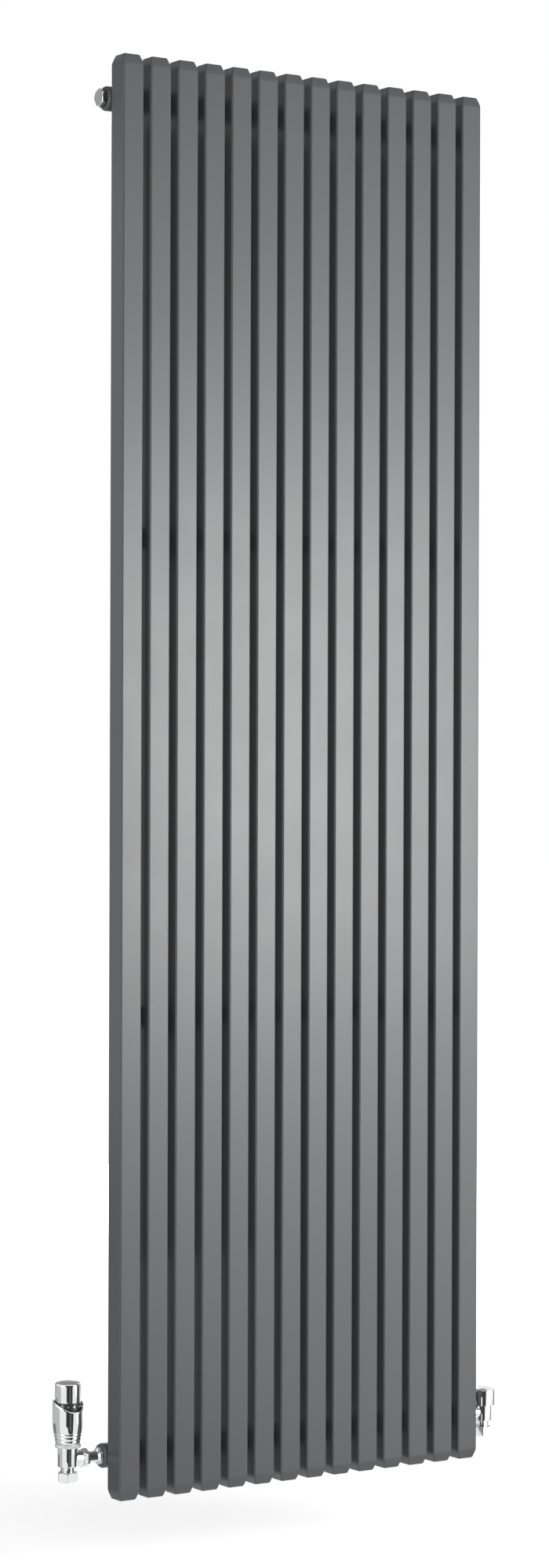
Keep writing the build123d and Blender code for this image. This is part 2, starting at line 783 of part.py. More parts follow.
# Sensor capsule: expands with warmth, its foot bears on the stem
sensor_radius = guide_bore - running_play
sensor_low = base_floor + trv_close_travel + loose_play
sensor_top = skirt_low + trv_sensor_rise
band_low = skirt_low + trv_band_rise
band_top = band_low + trv_band_height
cap_top = band_top + trv_grip_height
roof = cap_top - trv_cap_roof
drive_top = roof - trv_drive_gap
with BuildPart() as trv_sensor:
    with BuildSketch(trv_section):
        with BuildLine():
            Polyline(
                (0, stem_top),
                (trv_foot_dia / 2, stem_top),
                (trv_foot_dia / 2, sensor_low),
                (sensor_radius, sensor_low),
                (sensor_radius, sensor_top),
                (trv_drive_dia / 2, sensor_top),
                (trv_drive_dia / 2, drive_top),
                (0, drive_top),
                close=True,
            )
        make_face()
    revolve(axis=trv_axis)
trv_sensor.part.label = "trv_sensor"
export_step(trv_sensor.part, "parts/trv_sensor.step")

# Guard sleeve: tapered plated shell, its rim swooping down at the front to show the numbers,
# with a small nib at the lowest point that marks the setting
rim = trv_sleeve_dia / 2
foot = trv_sleeve_low_dia / 2
waist_z = sleeve_low + trv_waist_rise
waist = foot + (rim - foot) * trv_waist_share
shoulder_z = sleeve_low + trv_shoulder_rise
bulge_z = waist_z + (shoulder_z - waist_z) * trv_bulge_up
bulge = (waist + (rim - waist) * trv_bulge_out, bulge_z)
hollow = (bulge[0] - trv_sleeve_wall, bulge_z)
swoop_low = sleeve_top - trv_swoop_depth
swoop_end = (trv_swoop_run - rim, sleeve_top + trv_swoop_over)
side_section = Plane(origin=(trv_x, header_y, -header_z), x_dir=(0, 1, 0), z_dir=(1, 0, 0))
with BuildPart() as trv_sleeve:
    with BuildSketch(trv_section):
        with BuildLine():
            Line((foot, sleeve_low), (waist, waist_z))
            ThreePointArc((waist, waist_z), bulge, (rim, shoulder_z))
            Polyline(
                (rim, shoulder_z),
                (rim, sleeve_top),
                (rim - trv_sleeve_wall, sleeve_top),
                (rim - trv_sleeve_wall, shoulder_z),
            )
            ThreePointArc(
                (rim - trv_sleeve_wall, shoulder_z), hollow, (waist - trv_sleeve_wall, waist_z)
            )
            Polyline(
                (waist - trv_sleeve_wall, waist_z),
                (foot - trv_sleeve_wall, sleeve_low),
                (foot, sleeve_low),
            )
        make_face()
    revolve(axis=trv_axis)
    for rise in trv_groove_rises:
        groove_low = rise - trv_groove_width / 2
        floor = foot + (waist - foot) * groove_low / trv_waist_rise - trv_groove_depth
        with BuildSketch(Plane(origin=(trv_x, header_y, sleeve_low + groove_low - header_z))):
            Circle(rim)
            Circle(floor, mode=Mode.SUBTRACT)
        extrude(amount=trv_groove_width, mode=Mode.SUBTRACT)
    with BuildSketch(side_section):
        with BuildLine():
            TangentArc(swoop_end, (-rim, swoop_low), tangent=(-1, 0))
            Polyline(
                (-rim, swoop_low),
                (-2 * rim, swoop_low),
                (-2 * rim, cap_top),
                (swoop_end[0], cap_top),
                swoop_end,
            )
        make_face()
    extrude(amount=2 * rim, both=True, mode=Mode.SUBTRACT)
    with BuildSketch(trv_section.offset(rim + trv_nib_out)):
        with BuildLine():
            Polyline(
                (-trv_nib_width / 2, swoop_low - trv_nib_foot),
                (trv_nib_width / 2, swoop_low - trv_nib_foot),
                (0, swoop_low + trv_nib_tip),
                close=True,
            )
        make_face()
    extrude(amount=-(trv_nib_out + trv_sleeve_wall))
trv_sleeve.part.label = "trv_sleeve"
export_step(trv_sleeve.part, "parts/trv_sleeve.step")

# Handle: domed cap that turns in the sleeve and drives the sensor by its thread
bore = grip - trv_cap_wall
band_seat = grip - trv_band_sink - trv_band_thick
hub_bore = trv_drive_dia / 2 + running_play
hub = trv_drive_dia / 2 + trv_hub_wall
hub_low = sensor_top + (roof - sensor_top) * trv_hub_share
crown = dome_points(grip, cap_top, trv_cap_sag, trv_cap_edge)
with BuildPart() as trv_handle:
    with BuildSketch(trv_section):
        with BuildLine():
            ThreePointArc(*crown[:3])
            ThreePointArc(*crown[2:])
            Polyline(
                crown[4],
                (grip, band_top),
                (band_seat, band_top),
                (band_seat, band_low),
                (grip, band_low),
                (grip, skirt_low),
                (bore, skirt_low),
                (bore, roof),
                (hub, roof),
                (hub, hub_low),
                (hub_bore, hub_low),
                (hub_bore, roof),
                (0, roof),
                (0, cap_top),
            )
        make_face()
    revolve(axis=trv_axis)
trv_handle.part.label = "trv_handle"
export_step(trv_handle.part, "parts/trv_handle.step")

# Number band: dark ring let into the handle, seen through the dip in the sleeve
with BuildPart() as trv_number_band:
    with BuildSketch(Plane(origin=(trv_x, header_y, band_low - header_z))):
        Circle(grip - trv_band_sink)
        Circle(band_seat + running_play, mode=Mode.SUBTRACT)
    extrude(amount=trv_band_height)
trv_number_band.part.label = "trv_number_band"
export_step(trv_number_band.part, "parts/trv_number_band.step")

# Lockshield headwork: bonnet with a hexagon and gland, screwed into the body top
bonnet_low = lsv_body_top - lsv_bonnet_drop
bonnet_top = lsv_body_top + lsv_bonnet_height
lsv_gland_top = bonnet_top + lsv_gland_height
spindle_bore = lsv_spindle_dia / 2 + running_play
plug_bore = lsv_plug_dia / 2 + running_play
with BuildPart() as lsv_headwork:
    with BuildSketch(Plane(origin=(lsv_x, header_y, bonnet_low - header_z))):
        Circle(lsv_chamber_dia / 2 - thread_play)
    extrude(amount=lsv_bonnet_drop)
    with BuildSketch(Plane(origin=(lsv_x, header_y, lsv_body_top - header_z))):
        RegularPolygon(lsv_bonnet_flats / 2, 6, major_radius=False)
    extrude(amount=lsv_bonnet_height)
    with BuildSketch(Plane(origin=(lsv_x, header_y, bonnet_top - header_z))):
        Circle(lsv_gland_dia / 2)
    extrude(amount=lsv_gland_height)
    with BuildSketch(Plane(origin=(lsv_x, header_y, bonnet_low - header_z))):
        Circle(spindle_bore)
    extrude(amount=lsv_gland_top - bonnet_low, mode=Mode.SUBTRACT)
    with BuildSketch(Plane(origin=(lsv_x, header_y, bonnet_low - header_z))):
        Circle(plug_bore)
    extrude(amount=lsv_plug_pocket, mode=Mode.SUBTRACT)
lsv_headwork.part.label = "lsv_headwork"
export_step(lsv_headwork.part, "parts/lsv_headwork.step")

# Lockshield spindle: turned with a key on its square top
plug_low = lsv_seat + seat_gap + lsv_close_travel + disc_thick
spindle_low = plug_low + lsv_spindle_gap
spindle_top = lsv_gland_top + lsv_spindle_out
square_low = spindle_top - lsv_square_height
with BuildPart() as lsv_spindle:
    with BuildSketch(Plane(origin=(lsv_x, header_y, spindle_low - header_z))):
        Circle(lsv_spindle_dia / 2)
    extrude(amount=square_low - spindle_low)
    with BuildSketch(Plane(origin=(lsv_x, header_y, square_low - header_z))):
        Rectangle(lsv_spindle_square, lsv_spindle_square)
    extrude(amount=lsv_square_height)
lsv_spindle.part.label = "lsv_spindle"
export_step(lsv_spindle.part, "parts/lsv_spindle.step")

# Lockshield plug and its rubber disc: the plug rises and falls on the spindle's thread
with BuildPart() as lsv_plug:
    with BuildSketch(Plane(origin=(lsv_x, header_y, plug_low - header_z))):
        Circle(lsv_plug_dia / 2)
    extrude(amount=bonnet_low + lsv_plug_entry - plug_low)
    with BuildSketch(Plane(origin=(lsv_x, header_y, plug_low + lsv_plug_floor - header_z))):
        Circle(spindle_bore)
    extrude(amount=bonnet_low + lsv_plug_entry - plug_low, mode=Mode.SUBTRACT)
lsv_plug.part.label = "lsv_plug"
export_step(lsv_plug.part, "parts/lsv_plug.step")

with BuildPart() as lsv_disc:
    with BuildSketch(Plane(origin=(lsv_x, header_y, plug_low - disc_thick - header_z))):
        Circle(disc_dia / 2)
    extrude(amount=disc_thick)
lsv_disc.part.label = "lsv_disc"
export_step(lsv_disc.part, "parts/lsv_disc.step")

# Lockshield cap: smooth domed cover that rests on the gland and lifts off
cap_radius = lsv_cap_dia / 2
cap_bore = cap_radius - lsv_cap_wall
cap_roof = spindle_top + lsv_cap_room
post_bore = lsv_spindle_dia / 2 + loose_play
crown = dome_points(cap_radius, cap_roof + lsv_cap_roof, lsv_cap_sag, lsv_cap_edge)
with BuildPart() as lsv_cap:
    with BuildSketch(lsv_section):
        with BuildLine():
            ThreePointArc(*crown[:3])
            ThreePointArc(*crown[2:])
            Polyline(
                crown[4],
                (cap_radius, lsv_body_top),
                (cap_bore, lsv_body_top),
                (cap_bore, cap_roof),
                (lsv_gland_dia / 2, cap_roof),
                (lsv_gland_dia / 2, lsv_gland_top),
                (post_bore, lsv_gland_top),
                (post_bore, cap_roof),
                (0, cap_roof),
                (0, cap_roof + lsv_cap_roof),
            )
        make_face()
    revolve(axis=lsv_axis)
lsv_cap.part.label = "lsv_cap"
export_step(lsv_cap.part, "parts/lsv_cap.step")
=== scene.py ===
import math

import bmesh
import bpy
from mathutils import Matrix, Vector


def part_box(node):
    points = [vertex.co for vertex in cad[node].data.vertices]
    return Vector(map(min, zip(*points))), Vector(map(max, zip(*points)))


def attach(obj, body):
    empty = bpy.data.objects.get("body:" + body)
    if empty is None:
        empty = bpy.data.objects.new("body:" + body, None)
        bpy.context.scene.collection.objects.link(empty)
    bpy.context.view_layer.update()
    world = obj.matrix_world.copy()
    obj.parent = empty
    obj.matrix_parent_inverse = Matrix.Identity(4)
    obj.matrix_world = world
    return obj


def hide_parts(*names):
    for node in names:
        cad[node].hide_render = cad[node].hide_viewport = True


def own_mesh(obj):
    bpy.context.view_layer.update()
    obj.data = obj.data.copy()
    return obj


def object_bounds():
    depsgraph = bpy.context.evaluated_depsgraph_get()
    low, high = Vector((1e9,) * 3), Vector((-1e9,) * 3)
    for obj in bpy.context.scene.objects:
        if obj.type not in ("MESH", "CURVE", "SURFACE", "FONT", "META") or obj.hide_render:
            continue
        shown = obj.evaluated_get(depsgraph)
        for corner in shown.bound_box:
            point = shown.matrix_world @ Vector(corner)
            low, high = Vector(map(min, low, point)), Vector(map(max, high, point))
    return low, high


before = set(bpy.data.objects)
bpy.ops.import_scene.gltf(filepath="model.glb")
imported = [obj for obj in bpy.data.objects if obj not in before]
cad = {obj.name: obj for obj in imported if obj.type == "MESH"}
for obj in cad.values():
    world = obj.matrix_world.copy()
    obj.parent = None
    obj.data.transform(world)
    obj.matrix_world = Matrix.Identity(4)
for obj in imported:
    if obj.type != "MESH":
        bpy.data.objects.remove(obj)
cad_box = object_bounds()
scene = bpy.context.scene

# Viewpoint: a camera with a long lens, standing to the left of the radiator at half its height,
# turned and levelled so that columns and valves fall where the photograph has them.
camera_place = Vector((-2.58254, -3.96893, 0.01104))
camera_yaw = 0.579948
camera_tilt = -0.00405
camera_roll = 0.00305
sensor_long_side = 36.0
focal_length = 83.28

ahead = Vector((math.sin(camera_yaw) * math.cos(camera_tilt),
                math.cos(camera_yaw) * math.cos(camera_tilt), math.sin(camera_tilt)))
level_right = Vector((math.cos(camera_yaw), -math.sin(camera_yaw), 0))
level_up = level_right.cross(ahead)
right = level_right * math.cos(camera_roll) + level_up * math.sin(camera_roll)
up = level_up * math.cos(camera_roll) - level_right * math.sin(camera_roll)
camera = bpy.data.objects.new("camera", bpy.data.cameras.new("camera"))
scene.collection.objects.link(camera)
camera.data.sensor_width = sensor_long_side
camera.data.lens = focal_length
facing = Matrix((right, up, -ahead)).transposed().to_4x4()
camera.matrix_world = Matrix.Translation(camera_place) @ facing
scene.camera = camera
scene.view_settings.view_transform = "Standard"

# Studio: a white room and a pale floor, with a tall soft light to the right of the camera whose
# reflection runs down the columns. Wide fills light the edges and the back. Cards that only
# reflections see draw the stripes in the plating as painted reflections; dark ones just behind the
# columns are painted shade that keeps the gaps between the columns dark, and a dark one on the
# floor to the left is painted shade that darkens the foot of the end column in reflections.
floor_drop = 0.10
floor_size = 60.0
floor_grey = 0.8
room_level = 0.50
near_floor, far_floor = 1.2, 3.6
near_lift, far_lift = 0.30, 0.68
white = (1, 1, 1, 1)


def add_node(tree, kind, values=None, **settings):
    """Adds a node with the named sockets filled in and the named settings made."""
    made = tree.nodes.new(kind)
    for name, value in settings.items():
        setattr(made, name, value)
    for socket, value in (values or {}).items():
        made.inputs[socket].default_value = value
    return made


def wire(tree, *pairs):
    """Links outputs to inputs, given in pairs."""
    for output, socket in pairs:
        tree.links.new(output, socket)


def bare_material(name):
    """New material with no nodes but its output; gives it with its tree and its surface socket."""
    material = bpy.data.materials.new(name)
    material.use_nodes = True
    tree = material.node_tree
    tree.nodes.clear()
    return material, tree, add_node(tree, "ShaderNodeOutputMaterial").inputs["Surface"]


def seen_white(tree):
    """One where a camera, mirror or glass ray looks straight at the white of the studio."""
    path = add_node(tree, "ShaderNodeLightPath")
    either = add_node(tree, "ShaderNodeMath", operation="MAXIMUM")
    any_ray = add_node(tree, "ShaderNodeMath", operation="MAXIMUM")
    wire(tree, (path.outputs["Is Camera Ray"], either.inputs[0]),
         (path.outputs["Is Glossy Ray"], either.inputs[1]), (either.outputs[0], any_ray.inputs[0]),
         (path.outputs["Is Transmission Ray"], any_ray.inputs[1]))
    return any_ray.outputs[0]


def put(name, data):
    """Puts a mesh, a light or a text into the scene."""
    made = bpy.data.objects.new(name, data)
    scene.collection.objects.link(made)
    return made


scene.world = bpy.data.worlds.new("white_room")
scene.world.use_nodes = True
tree = scene.world.node_tree
room = tree.nodes["Background"]
room.inputs["Color"].default_value = white
level = add_node(tree, "ShaderNodeMapRange", {"To Min": room_level, "To Max": 1.0})
wire(tree, (seen_white(tree), level.inputs["Value"]),
     (level.outputs["Result"], room.inputs["Strength"]))

floor_material, tree, surface = bare_material("pale_floor")
matt = add_node(tree, "ShaderNodeBsdfDiffuse", {"Color": (floor_grey, floor_grey, floor_grey, 1)})
glow = add_node(tree, "ShaderNodeEmission", {"Color": white, "Strength": 1.0})
reflected = add_node(tree, "ShaderNodeMixShader")
where = add_node(tree, "ShaderNodeTexCoord")
away = add_node(tree, "ShaderNodeVectorMath", operation="LENGTH")
lift = add_node(tree, "ShaderNodeMapRange", {"From Min": near_floor, "From Max": far_floor,
                                             "To Min": near_lift, "To Max": far_lift})
haze = add_node(tree, "ShaderNodeEmission", {"Color": white})
shadowed = add_node(tree, "ShaderNodeAddShader")
path = add_node(tree, "ShaderNodeLightPath")
looked_at = add_node(tree, "ShaderNodeMixShader")
wire(tree, (seen_white(tree), reflected.inputs["Fac"]), (matt.outputs[0], reflected.inputs[1]),
     (glow.outputs[0], reflected.inputs[2]), (where.outputs["Object"], away.inputs[0]),
     (away.outputs["Value"], lift.inputs["Value"]),
     (lift.outputs["Result"], haze.inputs["Strength"]),
     (matt.outputs[0], shadowed.inputs[0]), (haze.outputs[0], shadowed.inputs[1]),
     (path.outputs["Is Camera Ray"], looked_at.inputs["Fac"]),
     (reflected.outputs[0], looked_at.inputs[1]), (shadowed.outputs[0], looked_at.inputs[2]),
     (looked_at.outputs[0], surface))

half = floor_size / 2
floor_z = cad_box[0].z - floor_drop
floor_mesh = bpy.data.meshes.new("floor")
floor_mesh.from_pydata([(x, y, floor_z) for x, y in ((-half, -half), (half, -half), (half, half),
                                                     (-half, half))], [], [(0, 1, 2, 3)])
floor_mesh.materials.append(floor_material)
floor = put("floor", floor_mesh)

for name, bearing, distance, width, tall, height, radiance, mirrored in (
        ("soft_light", 300.0, 2.6, 0.93, 1.04, 0.085, 10.2, True),
        ("light_spill", 306, 2.6, 1.4, 2.4, 0.12, 2.2, True),
        ("side_fill", 195, 3.0, 1.6, 2.6, 0.30, 2.0, True),
        ("front_fill", 242, 4.5, 2.0, 3.0, 0.20, 5.0, False),
        ("rear_fill", 70, 4.5, 2.0, 3.0, 0.20, 10.0, True)):
    light = bpy.data.lights.new(name, "AREA")
    light.shape = "RECTANGLE"
    light.size = width
    light.size_y = tall
    light.energy = radiance * math.pi * width * tall
    lamp = put(name, light)
    outward = Vector((math.cos(math.radians(bearing)), math.sin(math.radians(bearing)), 0))
    lamp.location = outward * distance + Vector((0, 0, height))
    lamp.rotation_mode = "QUATERNION"
    lamp.rotation_quaternion = outward.to_track_quat("Z", "Y")
    lamp.visible_camera = False
    lamp.visible_glossy = mirrored

head_x, head_y = -0.3205, -0.0505
card_gap = 0.001


def round_head(bearing, distance, z):
    """Point at a bearing, in degrees from +X, and a distance from the thermostatic head."""
    return (head_x + distance * math.cos(math.radians(bearing)),
            head_y + distance * math.sin(math.radians(bearing)), z)


def card(name, brightness, corners):
    """Flat card of one brightness that only mirror-like surfaces see."""
    material, tree, surface = bare_material(name)
    shade = add_node(tree, "ShaderNodeEmission", {"Color": white, "Strength": brightness})
    wire(tree, (shade.outputs[0], surface))
    mesh = bpy.data.meshes.new(name)
    mesh.from_pydata(corners, [], [tuple(range(len(corners)))])
    mesh.materials.append(material)
    made = put(name, mesh)
    made.visible_camera = False
    made.visible_diffuse = False
    made.visible_transmission = False
    made.visible_shadow = False


for i, (name, brightness, outline) in enumerate((
        ("front_floor", 0.04, ((228, 0.64), (240, 0.56), (244, 0.40), (281, 0.25), (281, 8),
                               (228, 8))),
        ("front_path", 0.13, ((253, 0.5), (268, 0.4), (266, 8), (255, 8))),
        ("rear_floor", 0.58, ((60, 0.05), (60, 4), (174, 4), (174, 0.05))),
        ("side_strip", 0.35, ((174, 0.2), (176, 0.2), (176, 8), (174, 8))),
        # side_foot is painted shade: a dark floor card whose reflection darkens the foot of the end
        # column's side.
        ("side_foot", 0.20, ((100, 0.36), (102, 0.95), (136, 0.98), (138, 0.36)))), start=2):
    card(name, brightness, [round_head(bearing, distance, floor_z + i * card_gap)
                            for bearing, distance in outline])
for name, brightness, (x0, y0), (x1, y1), low, high in (
        ("front_wall", 0.03, round_head(206, 8, 0)[:2], round_head(290, 8, 0)[:2], floor_z, 4.0),
        ("rear_wall", 0.50, (-1.6, 1.0), (0.7, 1.0), floor_z, -0.58),
        ("rear_panel", 0.28, (-0.62, 0.95), (0.75, 0.95), -0.6, 0.6),
        ("rear_high", 0.38, (-1.5, 0.6), (-0.6, 1.3), 1.05, 2.2),
        # near_back and near_foot are painted shade: dark cards just behind the columns that darken
        # the gaps between them in reflections.
        ("near_back", 0.12, (-0.285, 0.012), (0.285, 0.012), -0.62, 0.83),
        ("near_foot", 0.12, (-0.08, 0.012), (0.285, 0.012), -0.83, -0.62),
        ("right_front", 0.05, (0.2815, -0.108), (0.3137, -0.1195), -0.93, -0.79),
        ("right_side", 0.15, (0.562, -0.115), (0.570, -0.050), -0.93, -0.79)):
    card(name, brightness, [(x0, y0, low), (x1, y1, low), (x1, y1, high), (x0, y0, high)])
for name, brightness, z, outline in (
        ("ceiling", 0.30, 2.4, ((-2.5, -0.6), (2.5, -0.6), (2.5, 2.5), (-2.5, 2.5))),
        ("bright_floor", 1.9, floor_z + card_gap, ((0.30, -0.45), (1.5, -0.45), (3.0, -2.3),
                                                   (0.95, -2.3)))):
    card(name, brightness, [(x, y, z) for x, y in outline])

# Columns: square steel tubes, each end pressed in to a bevelled cap and welded shut, sprayed with
# satin anthracite paint. They stand in a row on a fixed pitch and hang from the headers behind.
mm = 0.001
column_low, column_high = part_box("column_01")
column_names = sorted(name for name in cad if name.startswith("column_"))
column_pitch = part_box("column_02")[0].x - column_low.x
column_corner = 2.0 * mm
bevel_inset = 3.7 * mm
bevel_rise = 10.5 * mm
bevel_blend = 18.0 * mm
bevel_margin = 0.5 * mm
tip_round = 1.8 * mm
tip_margin = 0.4 * mm
anthracite = (0.050, 0.0515, 0.054, 1)


def skin(name, rings, ends="caps", crease=32):
    """Mesh through rings of points: both ends capped, or the last ring joined to the first."""
    count, total = len(rings[0]), len(rings)
    faces = [(r * count + i, r * count + (i + 1) % count,
              (r + 1) % total * count + (i + 1) % count, (r + 1) % total * count + i)
             for r in range(total if ends == "loop" else total - 1) for i in range(count)]
    if ends == "caps":
        faces += [tuple(range(count)), tuple(range((total - 1) * count, total * count))]
    mesh = bpy.data.meshes.new(name)
    mesh.from_pydata([point for ring in rings for point in ring], [], faces)
    return settle(mesh, crease)


def settle(mesh, crease=32):
    """Merges doubles, turns the faces outwards and shades the mesh smooth up to a crease angle."""
    work = bmesh.new()
    work.from_mesh(mesh)
    bmesh.ops.remove_doubles(work, verts=work.verts, dist=1e-7)
    bmesh.ops.recalc_face_normals(work, faces=work.faces)
    work.to_mesh(mesh)
    work.free()
    mesh.shade_smooth()
    mesh.set_sharp_from_angle(angle=math.radians(crease))
    return mesh


def squared_ring(half, corner, centre, z, steps=5, edge=0.0004):
    """Points round a square with round corners, one more beside each corner to keep faces flat."""
    ring = []
    for quarter, (sx, sy) in enumerate(((1, 1), (-1, 1), (-1, -1), (1, -1))):
        for step in range(-1, steps + 2):
            angle = (quarter + min(max(step, 0), steps) / steps) * math.pi / 2
            c, s = math.cos(angle), math.sin(angle)
            slide = edge if step < 0 else -edge if step > steps else 0.0
            ring.append((centre[0] + sx * (half - corner) + corner * c + slide * s,
                         centre[1] + sy * (half - corner) + corner * s - slide * c, z))
    return ring


def plain_mesh(source, name):
    """The evaluated mesh of an object, which is then removed."""
    graph = bpy.context.evaluated_depsgraph_get()
    mesh = bpy.data.meshes.new_from_object(source.evaluated_get(graph), depsgraph=graph)
    mesh.name = name
    bpy.data.objects.remove(source)
    return mesh


def fit_piece(name, mesh, material, slot, *stands_for, body="radiator"):
    """Adds a finished piece that takes a material, rides on a body and stands for CAD nodes."""
    mesh.materials.clear()
    mesh.materials.append(material)
    piece = put(name, mesh)
    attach(piece, body)
    if stands_for:
        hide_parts(*stands_for)
    return piece


def scaled_noise(tree, where, scale, low, high, detail=3.0):
    """Noise on object coordinates, spread between two values."""
    noise = add_node(tree, "ShaderNodeTexNoise", {"Scale": scale, "Detail": detail})
    spread = add_node(tree, "ShaderNodeMapRange", {"From Min": 0.25, "From Max": 0.75,
                                                   "To Min": low, "To Max": high})
    wire(tree, (where, noise.inputs["Vector"]), (noise.outputs["Fac"], spread.inputs["Value"]))
    return spread.outputs["Result"]


def finish_group(name, patches, darkest, palest, *extra):
    """Shader group that takes a colour, a roughness and more, and clouds the colour in patches.

    Its roughness and height are wired up by the finish that it is made for."""
    group = bpy.data.node_groups.new(name, "ShaderNodeTree")
    common = (("Colour", "Color"), ("Roughness", "Float"))
    for socket, kind in (*common, *((more, "Float") for more in extra)):
        group.interface.new_socket(socket, in_out="INPUT", socket_type="NodeSocket" + kind)
    for socket, kind in (*common, ("Height", "Float")):
        group.interface.new_socket(socket, in_out="OUTPUT", socket_type="NodeSocket" + kind)
    given = group.nodes.new("NodeGroupInput").outputs
    result = group.nodes.new("NodeGroupOutput").inputs
    where = add_node(group, "ShaderNodeTexCoord").outputs["Object"]
    tint = add_node(group, "ShaderNodeVectorMath", operation="SCALE")
    wire(group, (given["Colour"], tint.inputs[0]),
         (scaled_noise(group, where, patches, darkest, palest), tint.inputs["Scale"]),
         (tint.outputs[0], result["Colour"]))
    return group, given, result, where


def coated_material(name, group, values, metallic=0.0, bump=0.05, bump_depth=0.00005):
    """Principled material whose colour, roughness and relief come from one of the finish groups."""
    material = bpy.data.materials.new(name)
    material.use_nodes = True
    tree = material.node_tree
    shader = tree.nodes["Principled BSDF"]
    shader.inputs["Metallic"].default_value = metallic
    coat = add_node(tree, "ShaderNodeGroup", node_tree=group)
    for socket, value in values.items():
        coat.inputs[socket].default_value = value
    relief = add_node(tree, "ShaderNodeBump", {"Strength": bump, "Distance": bump_depth})
    wire(tree, (coat.outputs["Colour"], shader.inputs["Base Color"]),
         (coat.outputs["Roughness"], shader.inputs["Roughness"]),
         (coat.outputs["Height"], relief.inputs["Height"]),
         (relief.outputs["Normal"], shader.inputs["Normal"]))
    return material


sprayed_coat, given, result, where = finish_group("sprayed_coat", 4.0, 0.96, 1.04)
gloss = add_node(sprayed_coat, "ShaderNodeMath", operation="MULTIPLY")
wire(sprayed_coat, (given["Roughness"], gloss.inputs[0]),
     (scaled_noise(sprayed_coat, where, 14.0, 0.95, 1.05), gloss.inputs[1]),
     (gloss.outputs[0], result["Roughness"]),
     (scaled_noise(sprayed_coat, where, 700.0, 0.0, 1.0), result["Height"]))
column_paint = coated_material("column_paint", sprayed_coat,
                               {"Colour": anthracite, "Roughness": 0.31})

half_column = (column_high.x - column_low.x) / 2
column_middle = (0.0, (column_low.y + column_high.y) / 2)
bevel_angle = math.atan2(bevel_inset, bevel_rise)
tip_start = bevel_inset + tip_round * math.tan(math.pi / 4 - bevel_angle / 2)
blend_end = bevel_rise + bevel_blend * math.tan(bevel_angle / 2)
quarters = (0.0, 0.25, 0.5, 0.75, 1.0)
end_steps = [(0.0, tip_start + tip_margin)]
for share in quarters:
    turn = (math.pi / 2 - bevel_angle) * share
    end_steps.append((tip_round * (1 - math.cos(turn)), tip_start - tip_round * math.sin(turn)))
end_steps.append((bevel_rise / 2, bevel_inset / 2))
for share in quarters:
    turn = bevel_angle * (1 - share)
    end_steps.append((blend_end - bevel_blend * math.sin(turn),
                      bevel_blend * (1 - math.cos(turn))))
end_steps.append((blend_end + bevel_margin, 0.0))
levels = [(column_low.z + t, inset) for t, inset in end_steps]
levels += [(column_high.z - t, inset) for t, inset in reversed(end_steps)]
one_column = put("one_column", skin("one_column", [
    squared_ring(half_column - inset, column_corner, column_middle, z) for z, inset in levels]))


def copies_tree(name, *sizes):
    """Node tree that sets copies of a form on a line of points, with its input, line and copier."""
    tree = bpy.data.node_groups.new(name, "GeometryNodeTree")
    for socket, kind in (("form", "Object"), ("count", "Int"), ("finish", "Material"), *sizes):
        tree.interface.new_socket(socket, in_out="INPUT", socket_type="NodeSocket" + kind)
    tree.interface.new_socket("copies", in_out="OUTPUT", socket_type="NodeSocketGeometry")
    given = tree.nodes.new("NodeGroupInput").outputs
    result = tree.nodes.new("NodeGroupOutput").inputs
    line = add_node(tree, "GeometryNodeMeshLine", {"Offset": (0, 0, 0)}, mode="OFFSET")
    form = add_node(tree, "GeometryNodeObjectInfo")
    copies = add_node(tree, "GeometryNodeInstanceOnPoints")
    real = add_node(tree, "GeometryNodeRealizeInstances")
    finish = add_node(tree, "GeometryNodeSetMaterial")
    wire(tree, (given["count"], line.inputs["Count"]), (given["form"], form.inputs["Object"]),
         (line.outputs["Mesh"], copies.inputs["Points"]),
         (form.outputs["Geometry"], copies.inputs["Instance"]),
         (copies.outputs["Instances"], real.inputs["Geometry"]),
         (real.outputs["Geometry"], finish.inputs["Geometry"]),
         (given["finish"], finish.inputs["Material"]),
         (finish.outputs["Geometry"], result["copies"]))
    return tree, given, line, copies


def copied(name, tree, **sizes):
    """Plain mesh of the copies that a tree makes of one object; the object itself is removed."""
    host = put(name, bpy.data.meshes.new(name))
    maker = host.modifiers.new("copies", "NODES")
    maker.node_group = tree
    for socket in tree.interface.items_tree:
        if socket.in_out == "INPUT":
            maker[socket.identifier] = sizes[socket.name]
    mesh = plain_mesh(host, name)
    bpy.data.objects.remove(sizes["form"])
    return mesh


row_of_copies, given, line, copies = copies_tree("row_of_copies", ("start", "Vector"),
                                                 ("step", "Vector"))
wire(row_of_copies, (given["start"], line.inputs["Start Location"]),
     (given["step"], line.inputs["Offset"]))
first_x = (column_low.x + column_high.x) / 2
columns = copied("columns", row_of_copies, form=one_column, count=len(column_names),
                 start=(first_x, 0, 0), step=(column_pitch, 0, 0), finish=column_paint)
fit_piece("columns", columns, column_paint, "column_paint", *column_names)

# Headers: a round steel tube across the back of the columns at each end, with a short neck welded
# to every column. Painted with the columns in one coat.
tube_low, tube_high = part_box("top_header")
header_radius = (tube_high.z - tube_low.z) / 2
header_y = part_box("top_left_boss")[0].y + header_radius
header_z = (tube_low.z + tube_high.z) / 2
neck_radius = 8.0 * mm
neck_bead = 1.3 * mm
neck_start = header_y - header_radius + 1.5 * mm
frame_paint = coated_material("frame_paint", sprayed_coat,
                              {"Colour": anthracite, "Roughness": 0.36})


def turned(name, profile, centre, along="z", ends="caps", segments=96):
    """Mesh turned from (radius, place) points about an axis through centre, along z or x or y."""
    rings = []
    for radius, place in profile:
        ring = []
        for i in range(segments):
            turn = i * math.tau / segments
            a, b = radius * math.cos(turn), radius * math.sin(turn)
            offset = {"z": (a, b, place), "x": (place, a, b), "y": (b, place, a)}[along]
            ring.append(tuple(c + o for c, o in zip(centre, offset)))
        rings.append(ring)
    return skin(name, rings, ends)


